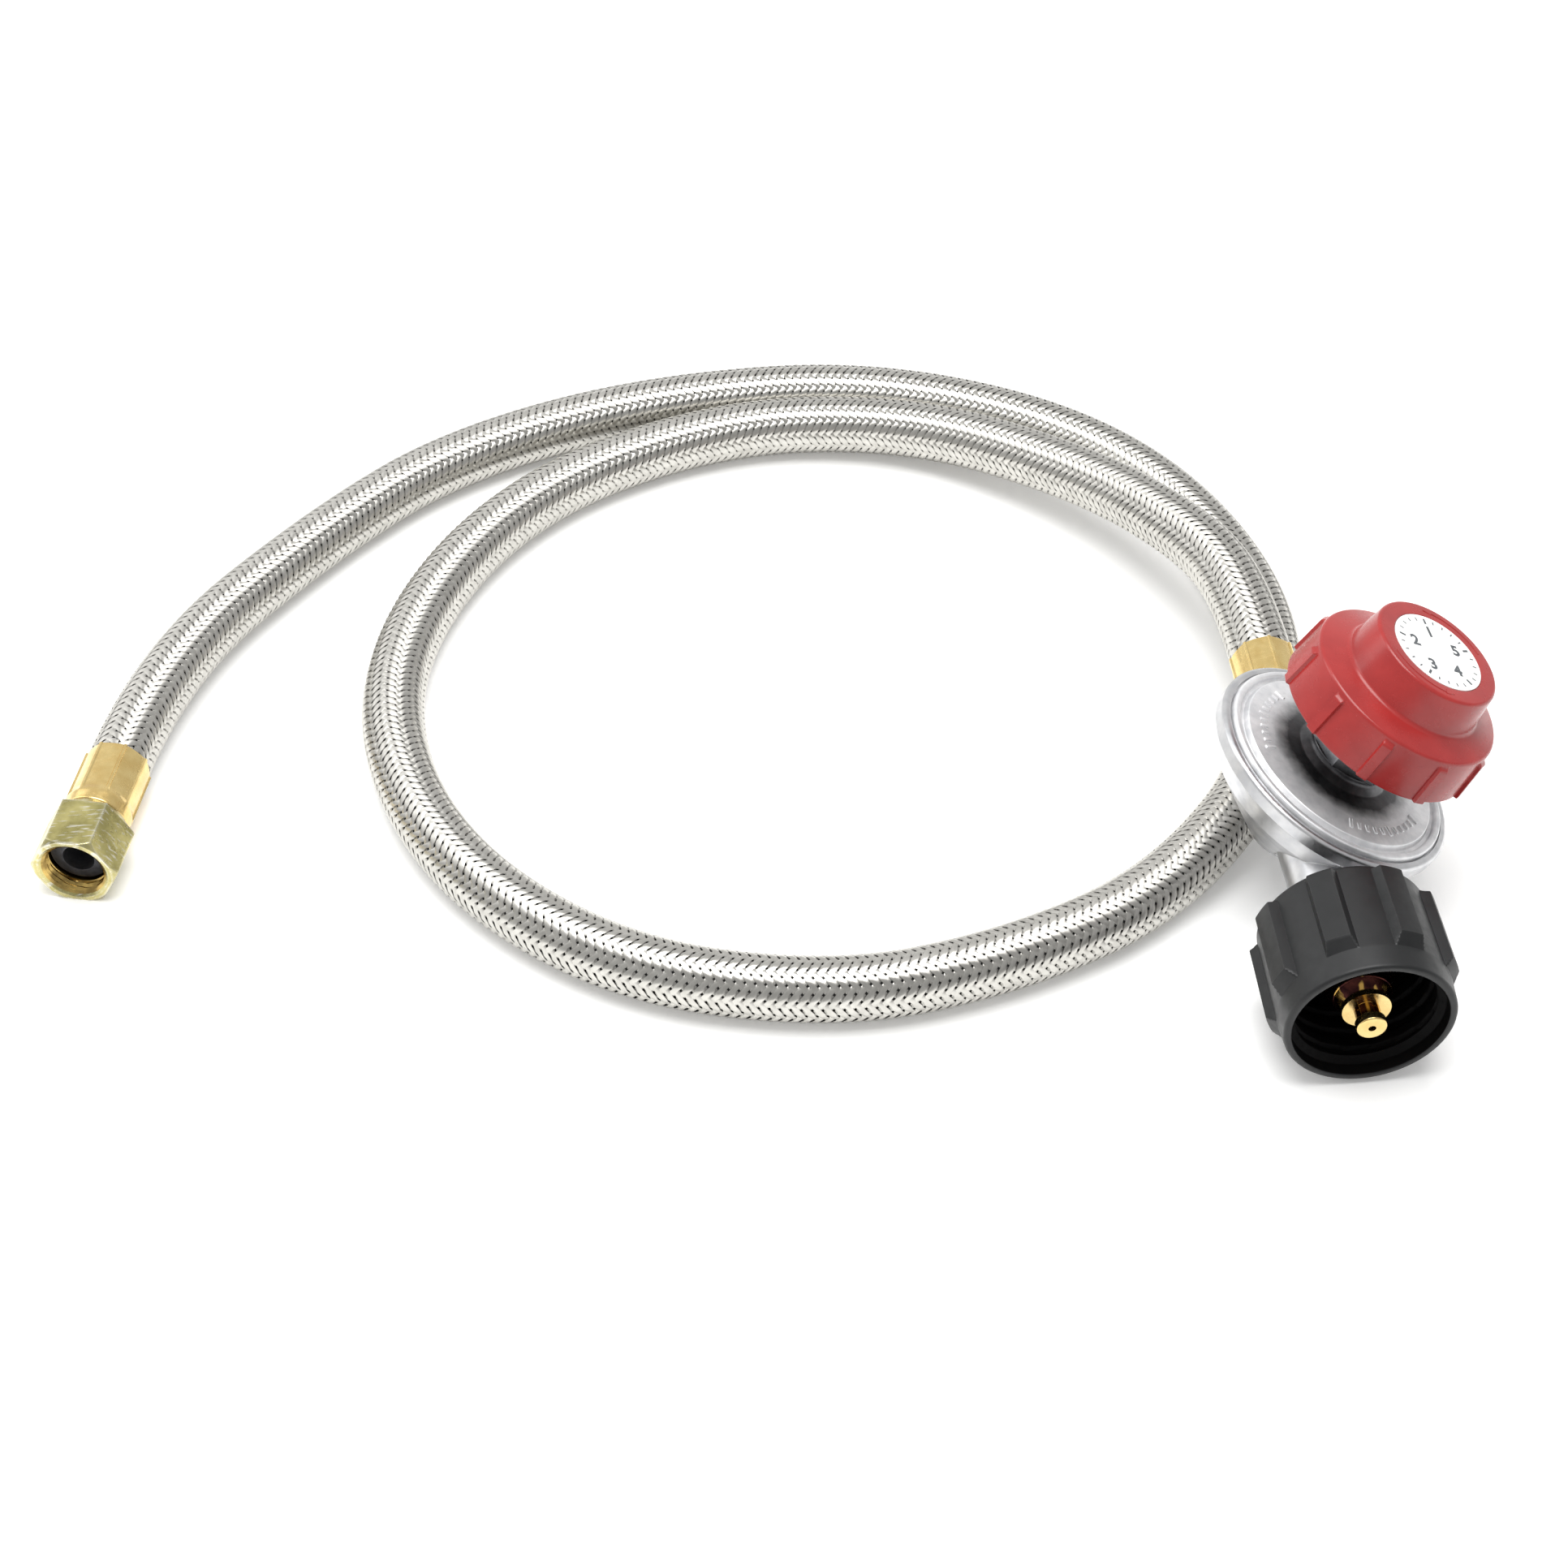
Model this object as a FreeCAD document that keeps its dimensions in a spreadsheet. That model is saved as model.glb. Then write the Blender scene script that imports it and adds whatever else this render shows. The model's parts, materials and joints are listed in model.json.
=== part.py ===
import FreeCAD, Part
import math
import os
from types import SimpleNamespace

import Sketcher
from FreeCAD import Placement, Rotation, Vector

# Propane regulator with a coiled braided hose, lying on a flat surface.
# The knob's axis and the inlet's axis cross at one point. In the regulator's own frame that
# point is the origin, +Z is the knob's axis, the inlet points along -Y and the outlet along +Y.
# Pieces on the inlet, the outlet and the far end have their own +Z along their own axis.

DIMENSIONS = {
    # how the regulator lies
    "axes_x": -8.3,
    "axes_y": 10.2545,
    "lean_angle": 28.0,
    "crossing_reach": 33.0,
    "crossing_gap": 0.3,
    # general clearances
    "press_gap": 0.03,
    "running_gap": 0.05,
    "loose_gap": 0.1,
    "seat_gap": 0.1,
    "cut_margin": 1.0,
    # edges
    "fine_edge": 0.3,
    "edge": 0.4,
    "broad_edge": 0.5,
    "moulded_edge": 0.8,
    # hose
    "hose_radius": 8.0,
    "braid_wall": 0.6,
    "exit_run": 24.0,
    "arrival_run": 39.0,
    # crimp ferrules
    "ferrule_length": 20.4,
    "ferrule_step": 0.5,
    "ferrule_wall": 1.6,
    "crimp_depth": 0.4,
    "crimp_width": 6.8,
    "collar_step": 0.1,
    "collar_length": 3.0,
    "ferrule_end": 2.0,
    "crimp_count": 8,
    "tail_gap": 1.0,
    "neck_radius": 4.95,
    "tail_radius": 4.7,
    "stem_bore": 2.5,
    # lower body
    "body_bottom": -12.6,
    "body_bottom_radius": 7.8,
    "body_shoulder": 3.5,
    "body_shoulder_radius": 27.5,
    "rim_depth": 0.3,
    "rim_radius": 31.6,
    "rim_wall": 1.1,
    "lip_width": 1.9,
    "lip_wall": 1.1,
    "lip_round": 1.0,
    "ledge_height": 9.6,
    "chamber_wall": 3.5,
    "chamber_shoulder": 3.0,
    "floor_wall": 2.6,
    "floor_inset": 0.6,
    # inlet boss, guide and web
    "inlet_boss_radius": 9.6,
    "inlet_boss_reach": 4.9,
    "inlet_thread_radius": 6.85,
    "inlet_thread_depth": 12.7,
    "seat_bore_radius": 4.6,
    "seat_depth": 5.0,
    "guide_bore_radius": 4.0,
    "guide_radius": 6.4,
    "guide_length": 13.0,
    "web_thickness": 5.0,
    "web_setback": 2.5,
    "web_height": 11.5,
    # outlet boss
    "outlet_boss_step": 0.1,
    "outlet_boss_setback": 2.6,
    "outlet_thread_radius": 6.6,
    "outlet_thread_depth": 11.0,
    "outlet_bore": 4.0,
    # bonnet
    "bonnet_flange": 1.6,
    "bead_inset": 3.4,
    "bead_half_width": 1.0,
    "bead_rise": 1.1,
    "groove_drop": 0.1,
    "step_inset": 6.0,
    "step_bevel": 0.6,
    "step_rise": 1.4,
    "neck_foot_radius": 12.0,
    "neck_foot_rise": 2.4,
    "neck_cove": 2.4,
    "neck_cove_height": 1.8,
    "bonnet_neck_radius": 10.0,
    "bonnet_rise": 5.4,
    "ceiling_drop": 0.6,
    "bonnet_bore": 8.4,
    "vent_distance": 18.0,
    "vent_angle": 40.0,
    "vent_radius": 2.2,
    "vent_hole": 1.5,
    "vent_ledge": 0.9,
    "screen_thickness": 0.5,
    # bonnet bushing
    "spigot_length": 4.6,
    "bushing_flats": 19.05,
    "bushing_turn": 47.0,
    "bushing_hex": 6.0,
    "hex_chamfer": 0.9,
    "bushing_neck_radius": 9.0,
    "bushing_neck": 16.4,
    "screw_bore": 7.2,
    # diaphragm, plate and stem
    "diaphragm_play": 0.3,
    "diaphragm_thickness": 0.8,
    "plate_radius": 15.0,
    "plate_thickness": 1.2,
    "stem_radius": 3.2,
    "stem_bottom": -4.5,
    "stem_collar_radius": 6.0,
    "stem_collar": 1.0,
    "stem_head_radius": 4.0,
    "stem_head": 0.7,
    "window_half_height": 1.45,
    # lever and valve
    "pivot_reach": 10.0,
    "pivot_rise": 3.5,
    "lever_reach_height": -2.2,
    "lever_riser_reach": 5.4,
    "lever_thickness": 3.0,
    "lever_half_width": 0.8,
    "lever_tip_radius": 1.4,
    "lever_end_radius": 1.3,
    "lever_hub_radius": 2.2,
    "lever_hub_width": 5.8,
    "pin_radius": 1.0,
    "pin_length": 11.4,
    "ear_thickness": 2.5,
    "ear_foot_drop": 0.2,
    "ear_foot_rise": 1.5,
    "ear_clearance": 0.5,
    "slider_start": 7.5,
    "slider_setback": 1.1,
    "slider_recess": 0.8,
    "slot_half_width": 1.7,
    "seat_disc_radius": 3.2,
    "seat_disc_thickness": 1.5,
    "orifice_nose_radius": 2.0,
    "orifice_lip": 0.4,
    "orifice_taper": 0.6,
    "orifice_bore": 1.0,
    # adjusting screw, button and main spring
    "screw_length": 10.2,
    "screw_bottom": 36.0,
    "head_square": 9.0,
    "head_height": 3.2,
    "button_thickness": 3.0,
    "button_nose_radius": 4.5,
    "button_nose": 3.0,
    "spring_wire": 1.8,
    "spring_mean_radius": 5.8,
    "spring_turns": 6,
    # knob
    "skirt_bottom": 29.2,
    "skirt_radius": 25.0,
    "skirt_taper": 0.8,
    "skirt_height": 11.8,
    "skirt_wall": 2.2,
    "shoulder_setback": 1.4,
    "shoulder_rise": 1.0,
    "shoulder_slope": 0.9,
    "shoulder_round": 1.4,
    "cove_width": 2.2,
    "cove_height": 2.0,
    "cove_radius": 2.6,
    "cap_foot_step": 1.0,
    "cap_radius": 16.3,
    "cap_height": 8.3,
    "cap_round": 1.0,
    "cap_wall": 1.8,
    "cap_plate": 2.5,
    "skirt_plate": 1.4,
    "hub_radius": 8.5,
    "knob_ribs": 10,
    "knob_rib_turn": 27.9,
    "knob_rib_root": 1.2,
    "knob_rib_height": 0.8,
    "knob_rib_width": 3.0,
    "knob_rib_drop": 0.6,
    "label_radius": 11.8,
    "label_thickness": 0.4,
    "label_recess": 0.5,
    "label_gap": 0.15,
    "knob_screw_recess": 1.5,
    "knob_screw_head": 3.2,
    "knob_screw_head_height": 1.3,
    "knob_screw_radius": 1.5,
    "knob_screw_length": 9.0,
    # hand nut
    "nut_gap": 2.3,
    "nut_length": 30.5,
    "nut_mouth_wall": 2.2,
    "nut_lip_depth": 3.2,
    "nut_lip_bevel": 1.3,
    "nut_thread_height": 1.6,
    "nut_thread_end": 19.0,
    "nut_relief": 0.6,
    "nut_wall": 4.9,
    "nut_radius": 20.0,
    "nut_rim_step": 0.4,
    "nut_ribs": 8,
    "nut_rib_height": 2.1,
    "nut_rib_root": 1.5,
    "nut_rib_base": 7.6,
    "nut_rib_top": 5.2,
    "nut_rib_front": 8.8,
    "nut_rib_toe": 6.2,
    "nut_rib_rear": 1.2,
    # nipple, probe, bush and poppet
    "nipple_stem_radius": 7.4,
    "shoulder_length": 6.3,
    "nipple_shoulder_radius": 9.8,
    "dome_length": 4.5,
    "dome_radius": 8.0,
    "dome_round": 11.0,
    "nose_bevel": 1.0,
    "nose_length": 3.2,
    "nose_round": 0.7,
    "nipple_nose_radius": 7.0,
    "nipple_chamber": 4.2,
    "chamber_setback": 6.0,
    "nipple_bore": 2.2,
    "bush_wall": 1.7,
    "bush_flange_radius": 11.2,
    "bush_flange": 2.0,
    "probe_thread_length": 9.0,
    "probe_cone_radius": 6.6,
    "probe_cone_step": 2.3,
    "probe_cone_length": 2.6,
    "probe_ring_length": 1.4,
    "probe_ring_radius": 5.6,
    "probe_stem_length": 2.9,
    "probe_stem_radius": 2.9,
    "probe_tip_length": 2.5,
    "probe_tip_radius": 3.5,
    "probe_hole": 0.9,
    "probe_slots": 4,
    "probe_slot_width": 1.6,
    "probe_slot_depth": 1.0,
    "poppet_travel_start": 7.0,
    "poppet_length": 3.0,
    "poppet_cup": 1.2,
    "poppet_cup_radius": 2.6,
    "poppet_chamfer": 0.6,
    "poppet_holes": 4,
    "poppet_hole_distance": 2.0,
    "poppet_hole_radius": 0.5,
    "poppet_spring_radius": 3.3,
    "poppet_spring_wire": 0.7,
    "poppet_spring_turns": 5,
    # far end
    "far_x": -302.8,
    "far_y": 27.9,
    "far_angle": 13.0,
    "flare_flats": 19.05,
    "flare_length": 16.7,
    "flare_face_bevel": 0.225,
    "flare_chamfer": 1.2,
    "flare_rear_bevel": 0.975,
    "flare_rear_chamfer": 1.92,
    "flare_mouth_step": 1.35,
    "flare_mouth_chamfer": 1.0,
    "flare_thread_radius": 7.25,
    "flare_thread_depth": 4.8,
    "flare_relief": 0.35,
    "flare_wall": 3.2,
    "seat_play": 0.15,
    "seat_flange": 7.8,
    "seat_crown": 0.8,
    "seat_mouth": 3.9,
    "seat_bore_depth": 6.0,
    "seat_hole": 2.8,
    "ferrule_gap": 0.35,
}

# The hose's middle line where it lies free, from behind the regulator to the far end.
# Millimetres, in the part's frame, chosen by hand along the hose's strands.
ROUTE = [
    (-14.9, 109.3, 25.2),
    (-37.2, 150.8, 16.2),
    (-80.6, 187.2, 9.6),
    (-137.3, 192.0, 8.0),
    (-197.3, 160.5, 8.0),
    (-230.3, 96.0, 8.0),
    (-220.3, 33.0, 8.0),
    (-179.3, -12.5, 8.0),
    (-126.3, -28.0, 8.0),
    (-82.3, -20.5, 8.0),
    (-40.8, -1.0, 8.0),
    (-5.3, 44.0, 8.0),
    (4.7, 108.0, 8.0),
    (-22.3, 172.0, 8.0),
    (-84.3, 207.0, 8.0),
    (-152.3, 206.0, 8.0),
    (-209.3, 186.0, 8.0),
    (-246.3, 153.0, 8.0),
]

ARC_SHARE = 0.45
SPLIT = math.sqrt(3.0)

doc = FreeCAD.newDocument("regulator_hose")
sheet = doc.addObject("Spreadsheet::Sheet", "Sizes")


class Size:
    """A number together with the formula that gives it from the sheet."""

    def __init__(self, value, text):
        self.value = float(value)
        self.text = text

    def __float__(self):
        return self.value

    def __neg__(self):
        return Size(-self.value, "-(%s)" % self.text)

    def __add__(self, other):
        other = as_size(other)
        return Size(self.value + other.value, "(%s + %s)" % (self.text, other.text))

    def __sub__(self, other):
        other = as_size(other)
        return Size(self.value - other.value, "(%s - %s)" % (self.text, other.text))

    def __mul__(self, other):
        other = as_size(other)
        return Size(self.value * other.value, "(%s * %s)" % (self.text, other.text))

    def __truediv__(self, other):
        other = as_size(other)
        return Size(self.value / other.value, "(%s / %s)" % (self.text, other.text))


def as_size(value):
    if isinstance(value, Size):
        return value
    return Size(value, "(%.9g)" % value)


def fill_sheet():
    """Write each driving dimension in a cell of its own and name the cell after it."""
    for row, (name, value) in enumerate(DIMENSIONS.items(), start=1):
        sheet.set("A%d" % row, name)
        sheet.set("B%d" % row, str(value))
        sheet.setAlias("B%d" % row, name)
    doc.recompute()
    return SimpleNamespace(**{name: Size(value, "Sizes." + name) for name, value in DIMENSIONS.items()})


d = fill_sheet()

# sketches


def new_body(name):
    body = doc.addObject("PartDesign::Body", name)
    body.Label = name
    return body


def new_sketch(body, plane, offset=None, turn=0.0):
    """A sketch on one of the body's own planes, moved along its normal and turned in it."""
    sketch = body.newObject("Sketcher::SketchObject", body.Label + "_sketch")
    support = [item for item in body.Origin.OriginFeatures if item.Role == plane][0]
    sketch.AttachmentSupport = [(support, "")]
    sketch.MapMode = "FlatFace"
    if offset is not None or turn:
        height = 0.0 if offset is None else float(offset)
        sketch.AttachmentOffset = Placement(Vector(0, 0, height), Rotation(Vector(0, 0, 1), turn))
    if offset is not None:
        sketch.setExpression("AttachmentOffset.Base.z", offset.text)
    return sketch


def bind(sketch, constraint, size):
    index = sketch.addConstraint(constraint)
    sketch.setExpression("Constraints[%d]" % index, size.text)


def hold_point(sketch, item, end, x, y):
    """Fix one end of a line or arc at the place (x, y)."""
    for kind, axis, size in (("DistanceX", -2, x), ("DistanceY", -1, y)):
        size = as_size(size)
        if size.value == 0.0:
            sketch.addConstraint(Sketcher.Constraint("PointOnObject", item, end, axis))
        else:
            bind(sketch, Sketcher.Constraint(kind, -1, 1, item, end, size.value), size)


def arc_between(first, last, radius):
    """The arc from first to last, its middle on the left of the way for a positive radius."""
    chord = last - first
    half = chord.Length / 2
    rise = math.sqrt(max(radius * radius - half * half, 0.0))
    left = Vector(-chord.y, chord.x, 0)
    left.normalize()
    centre = first + chord * 0.5 + left * math.copysign(rise, radius)
    ends = (first, last) if radius > 0 else (last, first)
    angles = [math.atan2(point.y - centre.y, point.x - centre.x) for point in ends]
    if angles[1] < angles[0]:
        angles[1] += 2 * math.pi
    circle = Part.Circle(centre, Vector(0, 0, 1), abs(radius))
    return Part.ArcOfCircle(circle, angles[0], angles[1])


def outline(sketch, points):
    """A closed outline. A point's third value is the radius of the arc that leads to it."""
    places = [Vector(float(point[0]), float(point[1]), 0) for point in points]
    count = len(points)
    ends = []
    for index in range(count):
        target = (index + 1) % count
        radius = points[target][2] if len(points[target]) > 2 else None
        if radius is None:
            sketch.addGeometry(Part.LineSegment(places[index], places[target]), False)
            ends.append((1, 2))
        else:
            sketch.addGeometry(arc_between(places[index], places[target], float(radius)), False)
            ends.append((1, 2) if float(radius) > 0 else (2, 1))
    for index in range(count):
        target = (index + 1) % count
        joint = Sketcher.Constraint("Coincident", index, ends[index][1], target, ends[target][0])
        sketch.addConstraint(joint)
    for index in range(count):
        hold_point(sketch, index, ends[index][0], points[index][0], points[index][1])
        target = (index + 1) % count
        if len(points[target]) > 2:
            radius = as_size(points[target][2])
            size = radius if radius.value > 0 else -radius
            bind(sketch, Sketcher.Constraint("Radius", index, size.value), size)
    return sketch


def circle(sketch, x, y, radius):
    place = Vector(float(x), float(y), 0)
    sketch.addGeometry(Part.Circle(place, Vector(0, 0, 1), float(radius)), False)
    hold_point(sketch, 0, 3, x, y)
    bind(sketch, Sketcher.Constraint("Radius", 0, float(radius)), as_size(radius))
    return sketch


def box_points(x_low, x_high, y_low, y_high):
    return [(x_low, y_low), (x_high, y_low), (x_high, y_high), (x_low, y_high)]


def hexagon_points(flats):
    """Six corners, with two flats across the sketch's Y direction."""
    long_x = flats / SPLIT
    short_x = long_x * 0.5
    up = flats * 0.5
    return [(long_x, 0), (short_x, up), (-short_x, up), (-long_x, 0), (-short_x, -up), (short_x, -up)]


# features


def feature(body, kind, sketch):
    made = body.newObject("PartDesign::" + kind, "%s_%s" % (body.Label, kind.lower()))
    made.Profile = sketch
    sketch.Visibility = False
    return made


def turned(body, kind, plane, points, axis):
    made = feature(body, kind, outline(new_sketch(body, plane), points))
    made.ReferenceAxis = (made.Profile[0], [axis])
    made.Angle = 360.0
    return made


def revolved(body, points, axis="V_Axis", plane="XZ_Plane"):
    """Turn an outline about the sketch's own axis, as new material."""
    return turned(body, "Revolution", plane, points, axis)


def grooved(body, points, axis="V_Axis", plane="XZ_Plane"):
    """Turn an outline about the sketch's own axis, as a cut that has to take something away."""
    doc.recompute()
    before = body.Shape.Volume
    made = turned(body, "Groove", plane, points, axis)
    doc.recompute()
    check_cut(body, before)
    return made


def padded(body, sketch, length, both_ways=False):
    made = feature(body, "Pad", sketch)
    made.Length = float(length)
    made.setExpression("Length", as_size(length).text)
    if both_ways:
        made.SideType = "Symmetric"
    return made


def pocketed(body, sketch, length, both_ways=False, backwards=False):
    doc.recompute()
    before = body.Shape.Volume
    made = feature(body, "Pocket", sketch)
    made.Length = float(length)
    made.setExpression("Length", as_size(length).text)
    made.Reversed = backwards
    if both_ways:
        made.SideType = "Symmetric"
    doc.recompute()
    check_cut(body, before)
    return made


def check_cut(body, before):
    if body.Shape.Volume >= before - 0.001:
        raise RuntimeError("a cut in %s takes nothing away" % body.Label)


def patterned(body, original, count):
    """Repeat one feature evenly about the body's own Z axis."""
    doc.recompute()
    made = body.newObject("PartDesign::PolarPattern", body.Label + "_pattern")
    made.Originals = [original]
    axis = [item for item in body.Origin.OriginFeatures if item.Role == "Z_Axis"][0]
    made.Axis = (axis, [""])
    made.Angle = 360.0
    made.Occurrences = int(float(count))
    made.setExpression("Occurrences", count.text)
    body.Tip = made
    return made


# sizes and heights that several pieces share

ferrule_radius = d.hose_radius + d.ferrule_step
squeezed_radius = ferrule_radius - d.ferrule_wall - d.running_gap
liner_bore = d.tail_radius + d.running_gap
rim_bore = d.rim_radius - d.rim_wall
lip_bore = d.rim_radius - d.lip_width
diaphragm_top = d.ledge_height + d.diaphragm_thickness
flange_top = diaphragm_top + d.bonnet_flange
plate_top = diaphragm_top + d.plate_thickness
rim_top = flange_top + d.seat_gap + d.lip_wall
rim_bottom = d.ledge_height - d.rim_depth
chamber_radius = d.body_shoulder_radius - d.chamber_wall
chamber_floor = d.body_bottom + d.floor_wall
chamber_floor_radius = d.body_bottom_radius - d.floor_inset
bonnet_top = rim_top + d.bonnet_rise
bonnet_ceiling = rim_top - d.ceiling_drop
vent_floor = bonnet_ceiling + d.vent_ledge
inlet_boss_length = d.rim_radius + d.inlet_boss_reach
outlet_boss_length = d.rim_radius - d.outlet_boss_setback
outlet_boss_radius = ferrule_radius + d.outlet_boss_step
orifice_end = inlet_boss_length - d.inlet_thread_depth
seat_start = orifice_end - d.seat_depth
slider_end = seat_start - d.slider_setback
slider_cup = slider_end - d.slider_recess
pivot_height = chamber_floor + d.pivot_rise
slot_near = d.pivot_reach - d.lever_tip_radius - d.seat_gap
slot_far = d.pivot_reach + d.lever_tip_radius + d.seat_gap
nut_rear = inlet_boss_length + d.nut_gap
nut_wall_top = nut_rear + d.nut_wall
nut_mouth = nut_rear + d.nut_length
nut_rib_radius = d.nut_radius + d.nut_rib_height
shoulder_start = nut_wall_top + d.loose_gap + d.bush_flange + d.seat_gap * 2
shoulder_end = shoulder_start + d.shoulder_length
dome_end = shoulder_end + d.dome_length
nose_start = dome_end + d.nose_bevel
nipple_end = nose_start + d.nose_length
nipple_chamber_start = shoulder_start - d.chamber_setback
poppet_start = nipple_chamber_start + d.poppet_travel_start
ferrule_start = outlet_boss_length + d.seat_gap * 2
far_ferrule_start = d.flare_length + d.ferrule_gap
skirt_top = d.skirt_bottom + d.skirt_height
shoulder_outer_height = skirt_top + d.shoulder_rise
shoulder_inner_height = shoulder_outer_height + d.shoulder_slope
cap_foot_height = shoulder_inner_height + d.cove_height
cap_top = cap_foot_height + d.cap_height
cap_inside = cap_top - d.cap_plate
label_floor = cap_top - d.label_recess
screw_seat = label_floor - d.knob_screw_recess
screw_top = d.screw_bottom + d.screw_length
button_bottom = d.screw_bottom - d.button_thickness

# places of the regulator, its nut and the far end


def lying_pose():
    """The regulator lies on two ribs of its nut, with its outlet just above the crossing hose."""
    half_step = math.pi / float(d.nut_ribs)
    half_top = float(d.nut_rib_top) / 2
    rib_drop = float(nut_rib_radius) * math.cos(half_step) + half_top * math.sin(half_step)
    contact = float(nut_mouth - d.nut_rib_front)
    lift = float(d.hose_radius * 2 + d.crossing_gap + ferrule_radius) - rib_drop
    pitch = math.asin(lift / (contact + float(d.crossing_reach)))
    height = contact * math.sin(pitch) + rib_drop * math.cos(pitch)
    return pitch, Vector(float(d.axes_x), float(d.axes_y), height)


PITCH, CROSSING = lying_pose()
TILT = Rotation(Vector(1, 0, 0), math.degrees(PITCH))
LEAN = Rotation(Vector(0, 1, 0), float(d.lean_angle))
TO_INLET = Rotation(Vector(1, 0, 0), 90)
TO_OUTLET = Rotation(Vector(1, 0, 0), -90)
REGULATOR = Placement(CROSSING, TILT * LEAN)
INLET = Placement(CROSSING, TILT * LEAN * TO_INLET)
NUT = Placement(CROSSING, TILT * TO_INLET)
OUTLET = Placement(CROSSING, TILT * LEAN * TO_OUTLET)
HEADING = Rotation(Vector(0, 0, 1), -float(d.far_angle))
FAR = Placement(Vector(float(d.far_x), float(d.far_y), float(d.flare_flats) / 2), HEADING * TO_OUTLET)


def lower_body():
    """Die-cast body: bowl, rolled rim, inlet boss with its guide, outlet boss and web."""
    body = new_body("lower_body")
    revolved(body, [
        (0, d.body_bottom),
        (d.body_bottom_radius, d.body_bottom),
        (d.body_shoulder_radius, d.body_shoulder),
        (d.rim_radius - d.edge, rim_bottom),
        (d.rim_radius, rim_bottom + d.edge),
        (d.rim_radius, rim_top - d.lip_round),
        (d.rim_radius - d.lip_round, rim_top, d.lip_round),
        (0, rim_top),
    ])
    revolved(body, [
        (-inlet_boss_length, 0),
        (outlet_boss_length, 0),
        (outlet_boss_length, outlet_boss_radius),
        (d.guide_length, outlet_boss_radius),
        (-d.guide_length, d.inlet_boss_radius),
        (-inlet_boss_length, d.inlet_boss_radius),
    ], "H_Axis", "YZ_Plane")
    web_foot = inlet_boss_length - d.web_setback
    web = outline(new_sketch(body, "YZ_Plane"), [
        (-web_foot, 0),
        (-d.guide_length, 0),
        (-d.guide_length, rim_bottom),
        (-(d.rim_radius - d.edge), rim_bottom),
        (-web_foot, d.web_height),
    ])
    padded(body, web, d.web_thickness, True)
    grooved(body, [
        (0, chamber_floor),
        (chamber_floor_radius, chamber_floor),
        (chamber_radius, d.chamber_shoulder),
        (chamber_radius, d.ledge_height),
        (rim_bore, d.ledge_height),
        (rim_bore, rim_top - d.lip_wall),
        (lip_bore, rim_top - d.lip_wall),
        (lip_bore, rim_top + d.cut_margin),
        (0, rim_top + d.cut_margin),
    ])
    revolved(body, [
        (-seat_start, 0),
        (-d.guide_length, 0),
        (-d.guide_length, d.guide_radius),
        (-seat_start, d.guide_radius),
    ], "H_Axis", "YZ_Plane")
    ears = outline(new_sketch(body, "YZ_Plane"), [
        (-d.pivot_reach - d.lever_hub_radius, chamber_floor + d.ear_foot_rise),
        (-d.pivot_reach + d.lever_hub_radius, chamber_floor - d.ear_foot_drop),
        (-d.pivot_reach + d.lever_hub_radius, pivot_height),
        (-d.pivot_reach, pivot_height + d.lever_hub_radius, d.lever_hub_radius),
        (-d.pivot_reach - d.lever_hub_radius, pivot_height, d.lever_hub_radius),
    ])
    ear_span = d.lever_hub_width + d.seat_gap * 2
    padded(body, ears, ear_span + d.ear_thickness * 2, True)
    between = outline(new_sketch(body, "YZ_Plane"), box_points(
        -d.pivot_reach - d.lever_hub_radius - d.ear_clearance,
        -d.pivot_reach + d.lever_hub_radius + d.ear_clearance,
        pivot_height - d.lever_hub_radius - d.fine_edge,
        pivot_height + d.lever_hub_radius + d.ear_clearance,
    ))
    pocketed(body, between, ear_span, True)
    pin_hole = circle(new_sketch(body, "YZ_Plane"), -d.pivot_reach, pivot_height, d.pin_radius + d.press_gap)
    pocketed(body, pin_hole, d.pin_length + d.cut_margin * 2, True)
    grooved(body, [
        (-inlet_boss_length - d.cut_margin, 0),
        (-d.guide_length + d.cut_margin, 0),
        (-d.guide_length + d.cut_margin, d.guide_bore_radius),
        (-seat_start, d.guide_bore_radius),
        (-seat_start, d.seat_bore_radius),
        (-orifice_end, d.seat_bore_radius),
        (-orifice_end, d.inlet_thread_radius),
        (-inlet_boss_length - d.cut_margin, d.inlet_thread_radius),
    ], "H_Axis", "YZ_Plane")
    outlet_thread_start = outlet_boss_length - d.outlet_thread_depth
    grooved(body, [
        (chamber_floor_radius, 0),
        (outlet_boss_length + d.cut_margin, 0),
        (outlet_boss_length + d.cut_margin, d.outlet_thread_radius),
        (outlet_thread_start, d.outlet_thread_radius),
        (outlet_thread_start, d.outlet_bore),
        (chamber_floor_radius, d.outlet_bore),
    ], "H_Axis", "YZ_Plane")
    grooved(body, [
        (outlet_boss_length, 0),
        (d.rim_radius + d.cut_margin, 0),
        (d.rim_radius + d.cut_margin, ferrule_radius + d.edge),
        (outlet_boss_length, ferrule_radius + d.edge),
    ], "H_Axis", "YZ_Plane")
    return body, REGULATOR


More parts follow.
